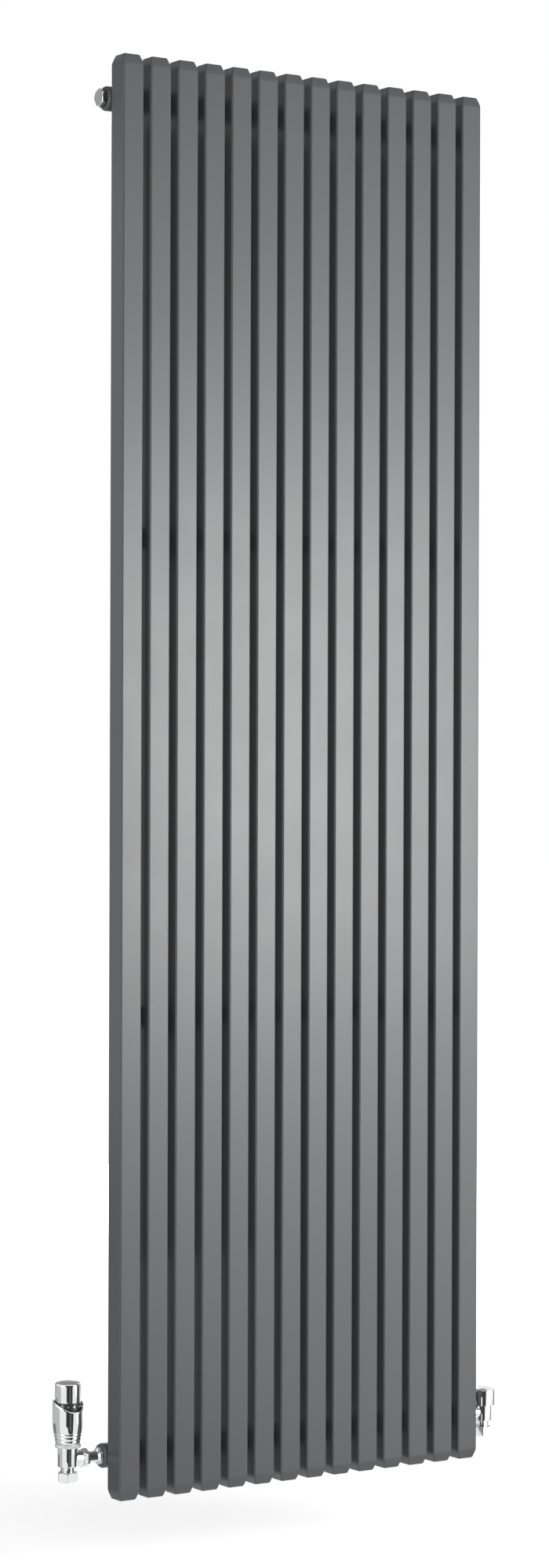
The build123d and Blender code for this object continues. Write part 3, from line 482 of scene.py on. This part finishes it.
for name, z in (("top_header", header_z), ("bottom_header", -header_z)):
    tube = turned(name, [(header_radius, tube_low.x), (header_radius, tube_high.x)],
                  (0, header_y, z), "x")
    fit_piece(name + "_tube", tube, frame_paint, "frame_paint", name)
    neck_end = column_high.y
    neck = turned("one_neck", [
        (neck_radius, neck_start), (neck_radius, neck_end + 2 * neck_bead),
        (neck_radius + 0.4 * neck_bead, neck_end + neck_bead),
        (neck_radius + neck_bead, neck_end + 0.3 * neck_bead),
        (neck_radius + neck_bead, neck_end)], (0, 0, z), "y", segments=32)
    necks = copied(name + "_necks", row_of_copies, form=put("one_neck", neck),
                   count=len(column_names), start=(first_x, 0, 0), step=(column_pitch, 0, 0),
                   finish=frame_paint)
    fit_piece(name + "_necks", necks, frame_paint, "frame_paint")

# End bosses: turned steel rings with a rounded nose and a threaded socket, welded into the four
# header ends and painted over. The plugs and the valve tails screw into them.
boss_low, boss_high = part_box("top_left_boss")
boss_face = boss_high.x if boss_high.x > 0 else -boss_low.x
boss_length = 6.0 * mm
boss_nose = 4.5 * mm
boss_step = 0.25 * mm
boss_edge = 0.3 * mm
nose_steps = 8
socket_radius = 10.5 * mm
socket_depth = 9.0 * mm
boss_profile = [(socket_radius, boss_face - socket_depth), (socket_radius, boss_face)]
for i in range(nose_steps + 1):
    turn = i / nose_steps * math.pi / 2
    boss_profile.append((header_radius - boss_nose * (1 - math.sin(turn)),
                         boss_face - boss_nose * (1 - math.cos(turn))))
boss_profile += [(header_radius, boss_face - boss_length + boss_edge),
                 (header_radius - boss_step, boss_face - boss_length),
                 (header_radius - boss_step, boss_face - socket_depth)]
for level, z in (("top", header_z), ("bottom", -header_z)):
    for side, out in (("left", -1), ("right", 1)):
        name = f"{level}_{side}_boss"
        boss = turned(name, [(radius, out * place) for radius, place in boss_profile],
                      (0, header_y, z), "x", ends="loop")
        fit_piece(name + "_ring", boss, frame_paint, "frame_paint", name)

# Cross bars: two flat steel bars welded over the backs of the columns, one at each third of the
# height, with a short fillet weld on every column. Painted with the frame.
bar_edge = 0.8 * mm
weld_size = 2.6 * mm
half_weld = 8.0 * mm
weld_margin = 1.0 * mm
weld_turns = (0.0, 0.4, 0.8, 1.2, math.pi / 2)
weld_start = [(-1.0, 0.35), (-0.94, 0.75)]
weld_ripples = [(i / 10, 0.9 if i % 2 else 1.0) for i in range(-8, 9)]
weld_end = [(0.94, 0.75), (1.0, 0.35)]


def eased_copy(name, width):
    """Copy of a flat-sided CAD node with its sharp edges eased by a small round."""
    work = bmesh.new()
    work.from_mesh(cad[name].data)
    bmesh.ops.remove_doubles(work, verts=work.verts, dist=1e-6)
    bmesh.ops.dissolve_limit(work, angle_limit=math.radians(1), verts=work.verts,
                             edges=work.edges)
    sharp = [edge for edge in work.edges if len(edge.link_faces) == 2
             and edge.calc_face_angle() > math.radians(35)]
    bmesh.ops.bevel(work, geom=sharp, offset=width, offset_type="OFFSET", segments=2, profile=0.5,
                    affect="EDGES", clamp_overlap=True)
    mesh = bpy.data.meshes.new(name)
    work.to_mesh(mesh)
    work.free()
    eased = put(name, settle(mesh))
    eased.modifiers.new("flat_faces", "WEIGHTED_NORMAL").keep_sharp = True
    return plain_mesh(eased, name)


for name in ("upper_cross_bar", "lower_cross_bar"):
    fit_piece(name + "_flat", eased_copy(name, bar_edge), frame_paint, "frame_paint", name)
    bar_low, bar_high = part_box(name)
    end_x = bar_high.x - half_weld - weld_margin
    for edge, z, lean in (("top", bar_high.z, 1), ("under", bar_low.z, -1)):
        bead = [[(half_weld * share, column_high.y + weld_size * size * math.cos(turn),
                  z + lean * weld_size * size * math.sin(turn)) for turn in weld_turns]
                + [(half_weld * share, column_high.y, z)]
                for share, size in weld_start + weld_ripples + weld_end]
        for row, count, start, step in (
                ("welds", len(column_names) - 2, first_x + column_pitch, column_pitch),
                ("end_welds", 2, -end_x, 2 * end_x)):
            weld = put("one_weld", skin("one_weld", bead))
            welds = copied(f"{name}_{edge}_{row}", row_of_copies, form=weld, count=count,
                           start=(start, 0, 0), step=(step, 0, 0), finish=frame_paint)
            fit_piece(f"{name}_{edge}_{row}", welds, frame_paint, "frame_paint")

# Wall brackets: folded and welded steel, a drilled plate on the wall with an arm that hooks under
# the cross bar. Painted, with a soft strip in each hook so that the bar's paint isn't scratched.
bracket_edge = 0.5 * mm
bracket_paint = coated_material("bracket_paint", sprayed_coat,
                                {"Colour": anthracite, "Roughness": 0.42}, bump=0.1)
moulded_skin, given, result, where = finish_group("moulded_skin", 90.0, 0.93, 1.07, "Grain")
gloss = add_node(moulded_skin, "ShaderNodeMath", operation="MULTIPLY")
grain = add_node(moulded_skin, "ShaderNodeTexNoise", {"Detail": 2.0})
wire(moulded_skin, (given["Roughness"], gloss.inputs[0]),
     (scaled_noise(moulded_skin, where, 160.0, 0.9, 1.1), gloss.inputs[1]),
     (gloss.outputs[0], result["Roughness"]), (where, grain.inputs["Vector"]),
     (given["Grain"], grain.inputs["Scale"]), (grain.outputs["Fac"], result["Height"]))
liner_plastic = coated_material("liner_plastic", moulded_skin, {
    "Colour": (0.03, 0.03, 0.03, 1), "Roughness": 0.6, "Grain": 1200.0})


def dress(material, *names):
    """Gives CAD nodes that stay as they are a finished material."""
    for name in names:
        cad[name].data.materials.clear()
        cad[name].data.materials.append(material)


for level in ("upper", "lower"):
    for side in ("left", "right"):
        name = f"{level}_{side}_bracket"
        fit_piece(name + "_arm", eased_copy(name, bracket_edge), bracket_paint, "bracket_paint",
                  name)
dress(liner_plastic, "bracket_liners")

# Blanking plug and air vent: plated brass hexagons screwed into the top bosses over rubber rings.
# The vent on the right has a small brass screw with a square end for the bleed key.
plug_points = 12.0 * mm
plug_flats = plug_points * math.sqrt(3)
plug_out = 7.0 * mm
seal_thick = 1.4 * mm
thread_play = 0.1 * mm
shank_radius = socket_radius - thread_play
vent_well_radius = 5.0 * mm
vent_well_depth = 3.2 * mm
vent_well_edge = 0.3 * mm
screw_edge = 0.2 * mm
hexagon_corner = 0.7 * mm
chamfer_slope = math.tan(math.radians(30))
drawn_along_z = (1.0, 1.0, 0.3)

plated_skin, given, result, where = finish_group("plated_skin", 45.0, 0.97, 1.0, "Smudge")
smear = add_node(plated_skin, "ShaderNodeMath", operation="MULTIPLY_ADD")
drawn = add_node(plated_skin, "ShaderNodeVectorMath", {1: drawn_along_z}, operation="MULTIPLY")
wire(plated_skin, (scaled_noise(plated_skin, where, 70.0, 0.0, 1.0), smear.inputs[0]),
     (given["Smudge"], smear.inputs[1]), (given["Roughness"], smear.inputs[2]),
     (smear.outputs[0], result["Roughness"]), (where, drawn.inputs[0]),
     (scaled_noise(plated_skin, drawn.outputs[0], 120.0, 0.0, 1.0, 1.0), result["Height"]))
chrome = coated_material("polished_chrome", plated_skin, {
    "Colour": (0.82, 0.825, 0.83, 1), "Roughness": 0.05, "Smudge": 0.04},
    metallic=1.0, bump=0.10, bump_depth=0.0004)
brass = coated_material("machined_brass", plated_skin, {
    "Colour": (0.70, 0.52, 0.24, 1), "Roughness": 0.22, "Smudge": 0.12},
    metallic=1.0, bump=0.1, bump_depth=0.0002)
seal_rubber = coated_material("seal_rubber", moulded_skin, {
    "Colour": (0.025, 0.025, 0.026, 1), "Roughness": 0.55, "Grain": 900.0})


def hexagon_points(flats, corner, turn=0.0, per_side=8, per_corner=4):
    """Outline of a hexagon with small round corners, one of them at the top before it is turned."""
    reach = flats / math.sqrt(3) - corner / math.cos(math.pi / 6)
    corners = []
    for side in range(6):
        middle = math.pi / 2 + side * math.pi / 3 + turn
        corners.append([(reach * math.cos(middle) + corner * math.cos(a),
                         reach * math.sin(middle) + corner * math.sin(a))
                        for a in (middle + (step / per_corner - 0.5) * math.pi / 3
                                  for step in range(per_corner + 1))])
    outline = []
    for this, following in zip(corners, corners[1:] + corners[:1]):
        (x0, y0), (x1, y1) = this[-1], following[0]
        outline += this + [(x0 + (x1 - x0) * s / per_side, y0 + (y1 - y0) * s / per_side)
                           for s in range(1, per_side)]
    return outline


def hexagon_piece(name, flats, start, end, centre, along, before=(), after=(), ends="caps",
                  land=0.97, turn=0.0):
    """Hexagon chamfered at both ends by a cone, with (radius, place) steps before and after it."""
    outline = hexagon_points(flats, hexagon_corner, turn)
    rings = []

    def lay(points):
        rings.append([tuple(c + o for c, o in zip(centre, (u, v, p) if along == "z" else (p, u, v)))
                      for u, v, p in points])

    def round_steps(steps):
        for radius, place in steps:
            lay([(u * radius / math.hypot(u, v), v * radius / math.hypot(u, v), place)
                 for u, v in outline])

    flat = flats / 2 * land
    inward = 1 if end > start else -1
    drop = [(math.hypot(u, v) - flat) * chamfer_slope for u, v in outline]
    round_steps([*before, (flat, start)])
    lay([(u, v, start + inward * d) for (u, v), d in zip(outline, drop)])
    lay([(u, v, end - inward * d) for (u, v), d in zip(outline, drop)])
    round_steps([(flat, end), *after])
    return skin(name, rings, ends, crease=22)


plug_centre = (0, header_y, header_z)
plug_seat, plug_face = boss_face + seal_thick, boss_face + plug_out
shank = [(shank_radius, boss_face - socket_depth), (shank_radius, plug_seat)]
plug = hexagon_piece("blanking_plug", plug_flats, -plug_seat, -plug_face, plug_centre, "x",
                     before=[(radius, -place) for radius, place in shank])
fit_piece("blanking_plug_hexagon", plug, chrome, "valve_chrome", "blanking_plug")
vent = hexagon_piece("vent_plug", plug_flats, plug_seat, plug_face, plug_centre, "x",
                     before=shank, after=[(vent_well_radius + vent_well_edge, plug_face),
                                          (vent_well_radius, plug_face - vent_well_edge),
                                          (vent_well_radius, plug_face - vent_well_depth)])
fit_piece("vent_plug_hexagon", vent, chrome, "valve_chrome", "vent_plug")
fit_piece("bleed_screw_square", eased_copy("bleed_screw", screw_edge), brass, "brass",
          "bleed_screw", body="bleed_screw")
dress(seal_rubber, "plug_seal", "vent_seal")

# Valve bodies: plated brass, turned upright with a side branch for the union and a threaded spigot
# below for the pipe. The left one is thermostatic, the right one is the lockshield.
trv_x = (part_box("trv_collar")[0].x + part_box("trv_collar")[1].x) / 2
trv_centre = (trv_x, header_y, -header_z)
lsv_centre = (-trv_x, header_y, -header_z)
valve_offset = -boss_face - trv_x
spigot_radius = 10.2 * mm
pipe_radius = 7.6 * mm
seat_radius = 5.0 * mm
seat_top, seat_under = -8.0 * mm, -12.0 * mm
foot_bevel = 1.2 * mm
rim_bevel = 0.6 * mm
branch_start = 7.0 * mm
branch_bevel = 0.4 * mm
union_start = 18.5 * mm
union_thread_radius = 8.9 * mm
union_thread_end = 23.5 * mm
valve_edge = 0.45 * mm
fine_turn = 128


def softened(profile, radius, loop=True, steps=3):
    """Profile whose corners are eased by small curves."""
    eased = []
    for i, point in enumerate(profile):
        if not loop and i in (0, len(profile) - 1):
            eased.append(point)
            continue
        here, before = Vector(point), Vector(profile[i - 1])
        after = Vector(profile[(i + 1) % len(profile)])
        reach = min(radius, (before - here).length * 0.45, (after - here).length * 0.45)
        start = here + (before - here).normalized() * reach
        end = here + (after - here).normalized() * reach
        eased += [tuple(start * (1 - t) ** 2 + here * 2 * t * (1 - t) + end * t * t)
                  for t in (step / steps for step in range(steps + 1))]
    return eased


def joined(name, first, second):
    """One mesh of two closed meshes that run into each other."""
    main, other = put(name, first), put(name + "_branch", second)
    cut = main.modifiers.new("join", "BOOLEAN")
    cut.operation = "UNION"
    cut.solver = "EXACT"
    cut.object = other
    mesh = plain_mesh(main, name)
    bpy.data.objects.remove(other)
    return settle(mesh)


for valve, toward, centre, sizes in (
        ("trv", 1, trv_centre, (12.75, -8.9, 15.6, 8.9, -21.5, -16.5, 10.5, 8.1)),
        ("lsv", -1, lsv_centre, (13.0, -12.4, 9.4, 8.75, -26.4, -21.1, 9.1, 8.2))):
    radius, low, top, neck, spigot_low, spigot_top, branch_radius, chamber = (
        size * mm for size in sizes)
    upright = softened([
        (pipe_radius, spigot_low), (spigot_radius, spigot_low), (spigot_radius, spigot_top),
        (neck, spigot_top), (neck, low), (radius - foot_bevel, low), (radius, low + foot_bevel),
        (radius, top - rim_bevel), (radius - rim_bevel, top), (chamber, top), (chamber, seat_top),
        (seat_radius, seat_top), (seat_radius, seat_under), (pipe_radius, seat_under)], valve_edge)
    branch = [(branch_radius, branch_start), (branch_radius, union_start - branch_bevel),
              (branch_radius - branch_bevel, union_start), (union_thread_radius, union_start),
              (union_thread_radius, union_thread_end)]
    body = joined(valve + "_body",
                  turned("upright", upright, centre, ends="loop", segments=fine_turn),
                  turned("branch", [(r, toward * place) for r, place in branch], centre, "x",
                         segments=fine_turn))
    fit_piece(valve + "_body_casting", body, chrome, "valve_chrome", valve + "_body")

# Unions: a plated hexagon nut draws each turned tailpiece against its valve. The tailpiece screws
# into the header boss, with a bright lip on the paint and a groove behind it.
union_flats = 21.0 * mm
union_end = 27.0 * mm
union_bore = union_thread_radius + thread_play
union_shoulder = union_thread_end + 1.4 * mm
tail_flange = union_thread_end + 1.3 * mm
tail_radius = 7.0 * mm
tail_bore = 5.5 * mm
tail_end = valve_offset + socket_depth
tail_edge = 0.25 * mm
cone_radius = 10.0 * mm
groove_radius = 8.6 * mm
lip_radius = 10.9 * mm
cone_start, cone_end = valve_offset - 5.5 * mm, valve_offset - 3.5 * mm
groove_start, groove_end = valve_offset - 2.7 * mm, valve_offset - 1.7 * mm
tail_profile = softened([
    (tail_bore, union_thread_end), (union_thread_radius, union_thread_end),
    (union_thread_radius, tail_flange), (tail_radius, tail_flange), (tail_radius, cone_start),
    (cone_radius, cone_end), (cone_radius, groove_start), (groove_radius, groove_start),
    (groove_radius, groove_end), (lip_radius, groove_end), (lip_radius, valve_offset),
    (shank_radius, valve_offset), (shank_radius, tail_end), (tail_bore, tail_end)], tail_edge)
for valve, toward, centre in (("trv", 1, trv_centre), ("lsv", -1, lsv_centre)):
    nut = hexagon_piece(valve + "_union_nut", union_flats, toward * union_start, toward * union_end,
                        centre, "x", before=[(union_bore, toward * union_shoulder),
                                             (union_bore, toward * union_start)],
                        after=[(tail_radius + thread_play, toward * union_end),
                               (tail_radius + thread_play, toward * union_shoulder)], ends="loop")
    fit_piece(valve + "_union_nut_hexagon", nut, chrome, "valve_chrome", valve + "_union_nut")
    tail = turned(valve + "_tailpiece", [(r, toward * place) for r, place in tail_profile], centre,
                  "x", ends="loop")
    fit_piece(valve + "_tailpiece_turned", tail, chrome, "valve_chrome", valve + "_tailpiece")

# Compression nuts: plated hexagons on the spigots, which squeeze a brass olive on to the pipe. One
# flat of each faces the room squarely.
nut_flats = 23.6 * mm
nut_bore = spigot_radius + thread_play
nut_pipe_bore = pipe_radius + thread_play
nut_web = 2.5 * mm
nut_mouth = 1.0 * mm
for valve, centre, low, top in (("trv", trv_centre, -27.4 * mm, -15.0 * mm),
                                ("lsv", lsv_centre, -32.3 * mm, -19.6 * mm)):
    nut = hexagon_piece(valve + "_compression_nut", nut_flats, low, top, centre, "z",
                        before=[(nut_bore, top - nut_mouth), (nut_bore, low + nut_web),
                                (nut_pipe_bore, low + nut_web), (nut_pipe_bore, low)],
                        after=[(nut_bore, top)], ends="loop", land=0.9, turn=math.pi / 6)
    fit_piece(valve + "_compression_nut_hexagon", nut, chrome, "valve_chrome",
              valve + "_compression_nut")
dress(brass, "trv_olive", "lsv_olive")

# Thermostatic insert: brass insert, gland and stem with a rubber-faced disc, and a steel spring
# that lifts the stem off the seat. Hidden in the body; in the valve the spring shortens as the stem
# goes down, and here it gets a mesh of its own.
spring_radius = 3.7 * mm
spring_wire = 0.45 * mm
spring_turns = 4.0
spring_low = 6.0 * mm
spring_top = 14.544 * mm
coil_steps = 160
wire_sides = 10
spring_steel = coated_material("spring_steel", plated_skin, {
    "Colour": (0.42, 0.42, 0.43, 1), "Roughness": 0.25, "Smudge": 0.15},
    metallic=1.0, bump=0.1, bump_depth=0.0001)
rings = []
for i in range(coil_steps + 1):
    angle = spring_turns * math.tau * i / coil_steps
    middle = spring_low + spring_wire + (spring_top - spring_low - 2 * spring_wire) * i / coil_steps
    rings.append([(trv_x + (spring_radius + spring_wire * math.cos(b)) * math.cos(angle),
                   header_y + (spring_radius + spring_wire * math.cos(b)) * math.sin(angle),
                   -header_z + middle + spring_wire * math.sin(b))
                  for b in (math.tau * k / wire_sides for k in range(wire_sides))])
spring = fit_piece("trv_spring_coil", skin("trv_spring_coil", rings), spring_steel, "spring_steel",
                   "trv_spring")
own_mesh(spring)
dress(brass, "trv_insert", "trv_gland", "trv_stem", "trv_disc_holder")
dress(seal_rubber, "trv_disc")

# Collar: knurled ring that screws the thermostatic head to the valve. Satin plated, so it looks
# paler and softer than the polished pieces round it.
collar_low, collar_high = 15.6 * mm, 20.2 * mm
collar_radius = 16.1 * mm
collar_bore = 14.1 * mm
collar_round = 0.5 * mm
knurl_count = 96
knurl_width = 0.36 * mm
knurl_out = 0.14 * mm
knurl_root = collar_radius - 0.5 * mm
knurl_side = collar_radius - knurl_out
knurl_margin = 0.6 * mm
satin_chrome = coated_material("satin_chrome", plated_skin, {
    "Colour": (0.76, 0.765, 0.77, 1), "Roughness": 0.40, "Smudge": 0.06},
    metallic=1.0, bump=0.1, bump_depth=0.0002)
collar = turned("trv_collar", softened([
    (collar_bore, collar_low), (knurl_side, collar_low), (knurl_side, collar_high),
    (collar_bore, collar_high)], collar_round), trv_centre, ends="loop", segments=fine_turn)
fit_piece("trv_collar_ring", collar, satin_chrome, "satin_chrome", "trv_collar")

ring_of_copies, given, line, copies = copies_tree("ring_of_copies", ("centre", "Vector"),
                                                  ("first", "Float"), ("step", "Float"))
index = add_node(ring_of_copies, "GeometryNodeInputIndex")
angle = add_node(ring_of_copies, "ShaderNodeMath", operation="MULTIPLY_ADD")
rotation = add_node(ring_of_copies, "ShaderNodeCombineXYZ")
wire(ring_of_copies, (given["centre"], line.inputs["Start Location"]),
     (index.outputs["Index"], angle.inputs[0]), (given["step"], angle.inputs[1]),
     (given["first"], angle.inputs[2]), (angle.outputs[0], rotation.inputs["Z"]),
     (rotation.outputs["Vector"], copies.inputs["Rotation"]))
rib = skin("one_rib", [[(knurl_root, -knurl_width, z), (knurl_root, knurl_width, z),
                        (knurl_side, knurl_width, z), (collar_radius, 0, z),
                        (knurl_side, -knurl_width, z)]
                       for z in (collar_low + knurl_margin, collar_high - knurl_margin)])
ribs = copied("trv_collar_ribs", ring_of_copies, form=put("one_rib", rib), count=knurl_count,
              centre=trv_centre, first=0.0, step=math.tau / knurl_count, finish=satin_chrome)
fit_piece("trv_collar_ribs", ribs, satin_chrome, "satin_chrome")

# Guard sleeve: thin plated shell over the thermostatic head. Its foot is grooved, its rim sweeps
# down at the front to show the numbers, and a small nib on the rim is the pointer.
sleeve_low = 21.0 * mm
sleeve_top = 73.9 * mm
sleeve_foot = 15.65 * mm
sleeve_waist = 18.275 * mm
waist_z = 35.0 * mm
sleeve_rim = 19.4 * mm
shoulder_z = 48.0 * mm
middle_z = (waist_z + shoulder_z) / 2
sleeve_wall = 1.2 * mm
sleeve_edge = 0.3 * mm
swoop_depth = 13.7 * mm
swoop_run = 32.0 * mm
swoop_over = 0.6 * mm
swoop_low = sleeve_top - swoop_depth
split_z = swoop_low - 2.5 * mm
groove_rises = (4.0 * mm, 9.0 * mm, 13.0 * mm)
groove_depth = 0.5 * mm
groove_half = 0.45 * mm
groove_lip = 0.15 * mm
groove_round = 0.1 * mm
rim_round = 0.4 * mm
ring_gap = 0.2 * mm
sleeve_segments = 192


def sleeve_radius(z):
    """Outer radius of the sleeve at a height."""
    if z <= waist_z:
        share = (z - sleeve_low) / (waist_z - sleeve_low)
        return sleeve_foot + (sleeve_waist - sleeve_foot) * share
    share = min(1.0, (z - waist_z) / (shoulder_z - waist_z))
    return sleeve_waist + (sleeve_rim - sleeve_waist) * (1 - (1 - share) ** 1.75)


def rim_height(radius, turn):
    """Height of the rim where the sweeping cut, an arc in side view, meets a wall of a radius."""
    behind = sleeve_rim + radius * math.sin(turn)
    rise = swoop_depth + swoop_over
    arc = (swoop_run ** 2 + rise ** 2) / (2 * rise)
    if behind >= swoop_run:
        return sleeve_top
    return min(sleeve_top,
               swoop_low + rise - arc + math.sqrt(arc ** 2 - (swoop_run - behind) ** 2))


outer = [(sleeve_foot - sleeve_edge, sleeve_low),
         (sleeve_radius(sleeve_low + sleeve_edge), sleeve_low + sleeve_edge)]
groove = [(groove_half + groove_lip, 0), (groove_half, groove_round),
          (groove_half - groove_round, groove_depth)]
groove = [(-reach, depth) for reach, depth in groove] + groove[::-1]
for rise in groove_rises:
    for reach, depth in groove:
        z = sleeve_low + rise + reach
        outer.append((sleeve_radius(z) - depth, z))
outer += [(sleeve_radius(z), z) for z in
          (waist_z + (shoulder_z - waist_z) * step / 10 for step in range(11))
          if z > outer[-1][1] + ring_gap]
outer.append((sleeve_rim, split_z))
lines = []
for i in range(sleeve_segments):
    turn = i * math.tau / sleeve_segments - math.pi / 2
    inside = sleeve_rim - sleeve_wall
    high, inside_high = rim_height(sleeve_rim, turn), rim_height(inside, turn)
    lean = (inside_high - high) * rim_round / sleeve_wall
    line = outer + [(sleeve_rim, split_z + (high - rim_round - split_z) * share)
                    for share in (0.33, 0.67, 1.0)]
    line += [(sleeve_rim - rim_round * 0.3, high - rim_round * 0.2),
             (sleeve_rim - rim_round, high + lean), (inside + rim_round, inside_high - lean),
             (inside + rim_round * 0.3, inside_high - rim_round * 0.2),
             (inside, inside_high - rim_round), (inside, split_z), (inside, shoulder_z),
             (sleeve_radius(middle_z) - sleeve_wall, middle_z),
             (sleeve_waist - sleeve_wall, waist_z), (sleeve_foot - sleeve_wall, sleeve_low)]
    lines.append([(trv_x + radius * math.cos(turn), header_y + radius * math.sin(turn),
                   z - header_z) for radius, z in line])
sleeve = skin("trv_sleeve", list(zip(*lines)), ends="loop", crease=40)
fit_piece("trv_sleeve_shell", sleeve, chrome, "valve_chrome", "trv_sleeve")

nib_half = 2.2 * mm
nib_out = 0.3 * mm
nib_low, nib_tip = swoop_low - 2.0 * mm, swoop_low + 2.2 * mm
nib_corner = 0.5 * mm
nib_outline = softened([(-nib_half, nib_low), (nib_half, nib_low), (0.0, nib_tip)], nib_corner)
nib = skin("trv_nib", [[(trv_x + r * math.sin(x / sleeve_rim),
                         header_y - r * math.cos(x / sleeve_rim), z - header_z)
                        for x, z in nib_outline]
                       for r in (sleeve_rim - sleeve_wall * 0.8, sleeve_rim + 0.6 * nib_out,
                                 sleeve_rim + nib_out)])
fit_piece("trv_sleeve_nib", nib, chrome, "valve_chrome")

# Thermostatic head: the turning handle is a domed plated cap, with a dark ring let into its skirt
# that carries the numbers. Inside are the plastic base and the sensor, which moves the stem.
handle_radius = 16.5 * mm
handle_low = 46.0 * mm
handle_top = 98.4 * mm
handle_bore = 14.9 * mm
handle_roof = 93.0 * mm
handle_edge = 0.2 * mm
crown_sag = 2.6 * mm
crown_edge = 3.5 * mm
pole = 0.0005 * mm
band_low, band_high = 54.0 * mm, 72.3 * mm
band_radius = 16.2 * mm
band_bore = 15.4 * mm
band_gap = 0.05 * mm
band_edge = 0.15 * mm
head_plastic = coated_material("head_plastic", moulded_skin, {
    "Colour": (0.62, 0.62, 0.60, 1), "Roughness": 0.45, "Grain": 1500.0})
band_plastic = coated_material("band_plastic", moulded_skin, {
    "Colour": (0.018, 0.018, 0.02, 1), "Roughness": 0.32, "Grain": 1500.0})
dial_ink = coated_material("dial_ink", moulded_skin, {
    "Colour": (0.78, 0.78, 0.77, 1), "Roughness": 0.5, "Grain": 2500.0})


def domed(radius, top, sag, edge, steps=14, edge_steps=8):
    """Outline of a domed top from its middle: a shallow crown, then a round edge to the side."""
    crown = (radius * radius + sag * sag) / (2 * sag)
    middle = top - crown
    edge_z = middle + math.sqrt((crown - edge) ** 2 - (radius - edge) ** 2)
    lean = math.asin((radius - edge) / (crown - edge))
    points = [(pole, top)]
    points += [(crown * math.sin(lean * s / steps), middle + crown * math.cos(lean * s / steps))
               for s in range(1, steps + 1)]
    return points + [(radius - edge + edge * math.sin(a), edge_z + edge * math.cos(a))
                     for a in (lean + (math.pi / 2 - lean) * s / edge_steps
                               for s in range(1, edge_steps + 1))]


crown = domed(handle_radius, handle_top, crown_sag, crown_edge)
handle_profile = crown + softened([
    crown[-1], (handle_radius, band_high), (band_bore, band_high), (band_bore, band_low),
    (handle_radius, band_low), (handle_radius, handle_low), (handle_bore, handle_low),
    (handle_bore, handle_roof), (pole, handle_roof)], handle_edge, loop=False)[1:]
handle = turned("trv_handle", handle_profile, trv_centre, segments=fine_turn)
fit_piece("trv_handle_cap", handle, chrome, "valve_chrome", "trv_handle", body="trv_handle")
band = turned("trv_number_band", softened([
    (band_bore, band_low + band_gap), (band_radius, band_low + band_gap),
    (band_radius, band_high - band_gap), (band_bore, band_high - band_gap)], band_edge),
    trv_centre, ends="loop", segments=fine_turn)
fit_piece("trv_number_band_ring", band, band_plastic, "band_plastic", "trv_number_band",
          body="trv_handle")

digit_tall = 4.6 * mm
digit_share = 0.72
digit_z = 67.6 * mm
digit_step = math.radians(55)
digit_set = 4
ink_out = 0.12 * mm
dot_radius = 0.55 * mm
dot_deep = 0.2 * mm
dot_out = 0.08 * mm
dot_pole = 0.00001 * mm
for digit in range(6):
    text = bpy.data.curves.new(f"dial_{digit}", "FONT")
    text.body = str(digit)
    text.size = digit_tall / digit_share
    text.align_x = "CENTER"
    text.align_y = "CENTER"
    text.extrude = 0.5 * ink_out
    mesh = plain_mesh(put(f"dial_{digit}", text), f"dial_{digit}")
    for vertex in mesh.vertices:
        x, y, z = vertex.co
        reach = band_radius + ink_out / 2 + z
        turn = (digit_set - digit) * digit_step + x / band_radius
        vertex.co = (trv_x + reach * math.sin(turn), header_y - reach * math.cos(turn),
                     digit_z + y - header_z)
    fit_piece(f"trv_dial_{digit}", settle(mesh), dial_ink, None, body="trv_handle")
dot = turned("one_dot", [(dot_pole, 0.0), (dot_radius, 0.0), (dot_radius, -dot_deep)],
             (0, -band_radius - dot_out, digit_z), "y", segments=20)
dots = copied("trv_dial_dots", ring_of_copies, form=put("one_dot", dot), count=5, centre=trv_centre,
              first=-0.5 * digit_step, step=digit_step, finish=dial_ink)
fit_piece("trv_dial_dots", dots, dial_ink, None, body="trv_handle")
dress(head_plastic, "trv_base", "trv_sensor")

# Lockshield: brass headwork and spindle under a plain domed cap that pulls off, so that the setting
# isn't moved by accident. The spindle screws a rubber-faced plug up and down in the body.
cap_radius = 17.5 * mm
cap_low = 9.4 * mm
cap_top = 34.1 * mm
cap_sag = 4.0 * mm
cap_edge = 1.5 * mm
cap_bore = 15.9 * mm
cap_roof = 29.5 * mm
cap_round = 0.3 * mm
post_radius = 6.5 * mm
post_low = 18.0 * mm
post_bore = 3.4 * mm
crown = domed(cap_radius, cap_top, cap_sag, cap_edge)
cap_profile = crown + softened([
    crown[-1], (cap_radius, cap_low), (cap_bore, cap_low), (cap_bore, cap_roof),
    (post_radius, cap_roof), (post_radius, post_low), (post_bore, post_low), (post_bore, cap_roof),
    (pole, cap_roof)], cap_round, loop=False)[1:]
cap = turned("lsv_cap", cap_profile, lsv_centre, segments=fine_turn)
fit_piece("lsv_cap_shell", cap, chrome, "valve_chrome", "lsv_cap", body="lsv_cap")
dress(brass, "lsv_headwork", "lsv_spindle", "lsv_plug")
dress(seal_rubber, "lsv_disc")
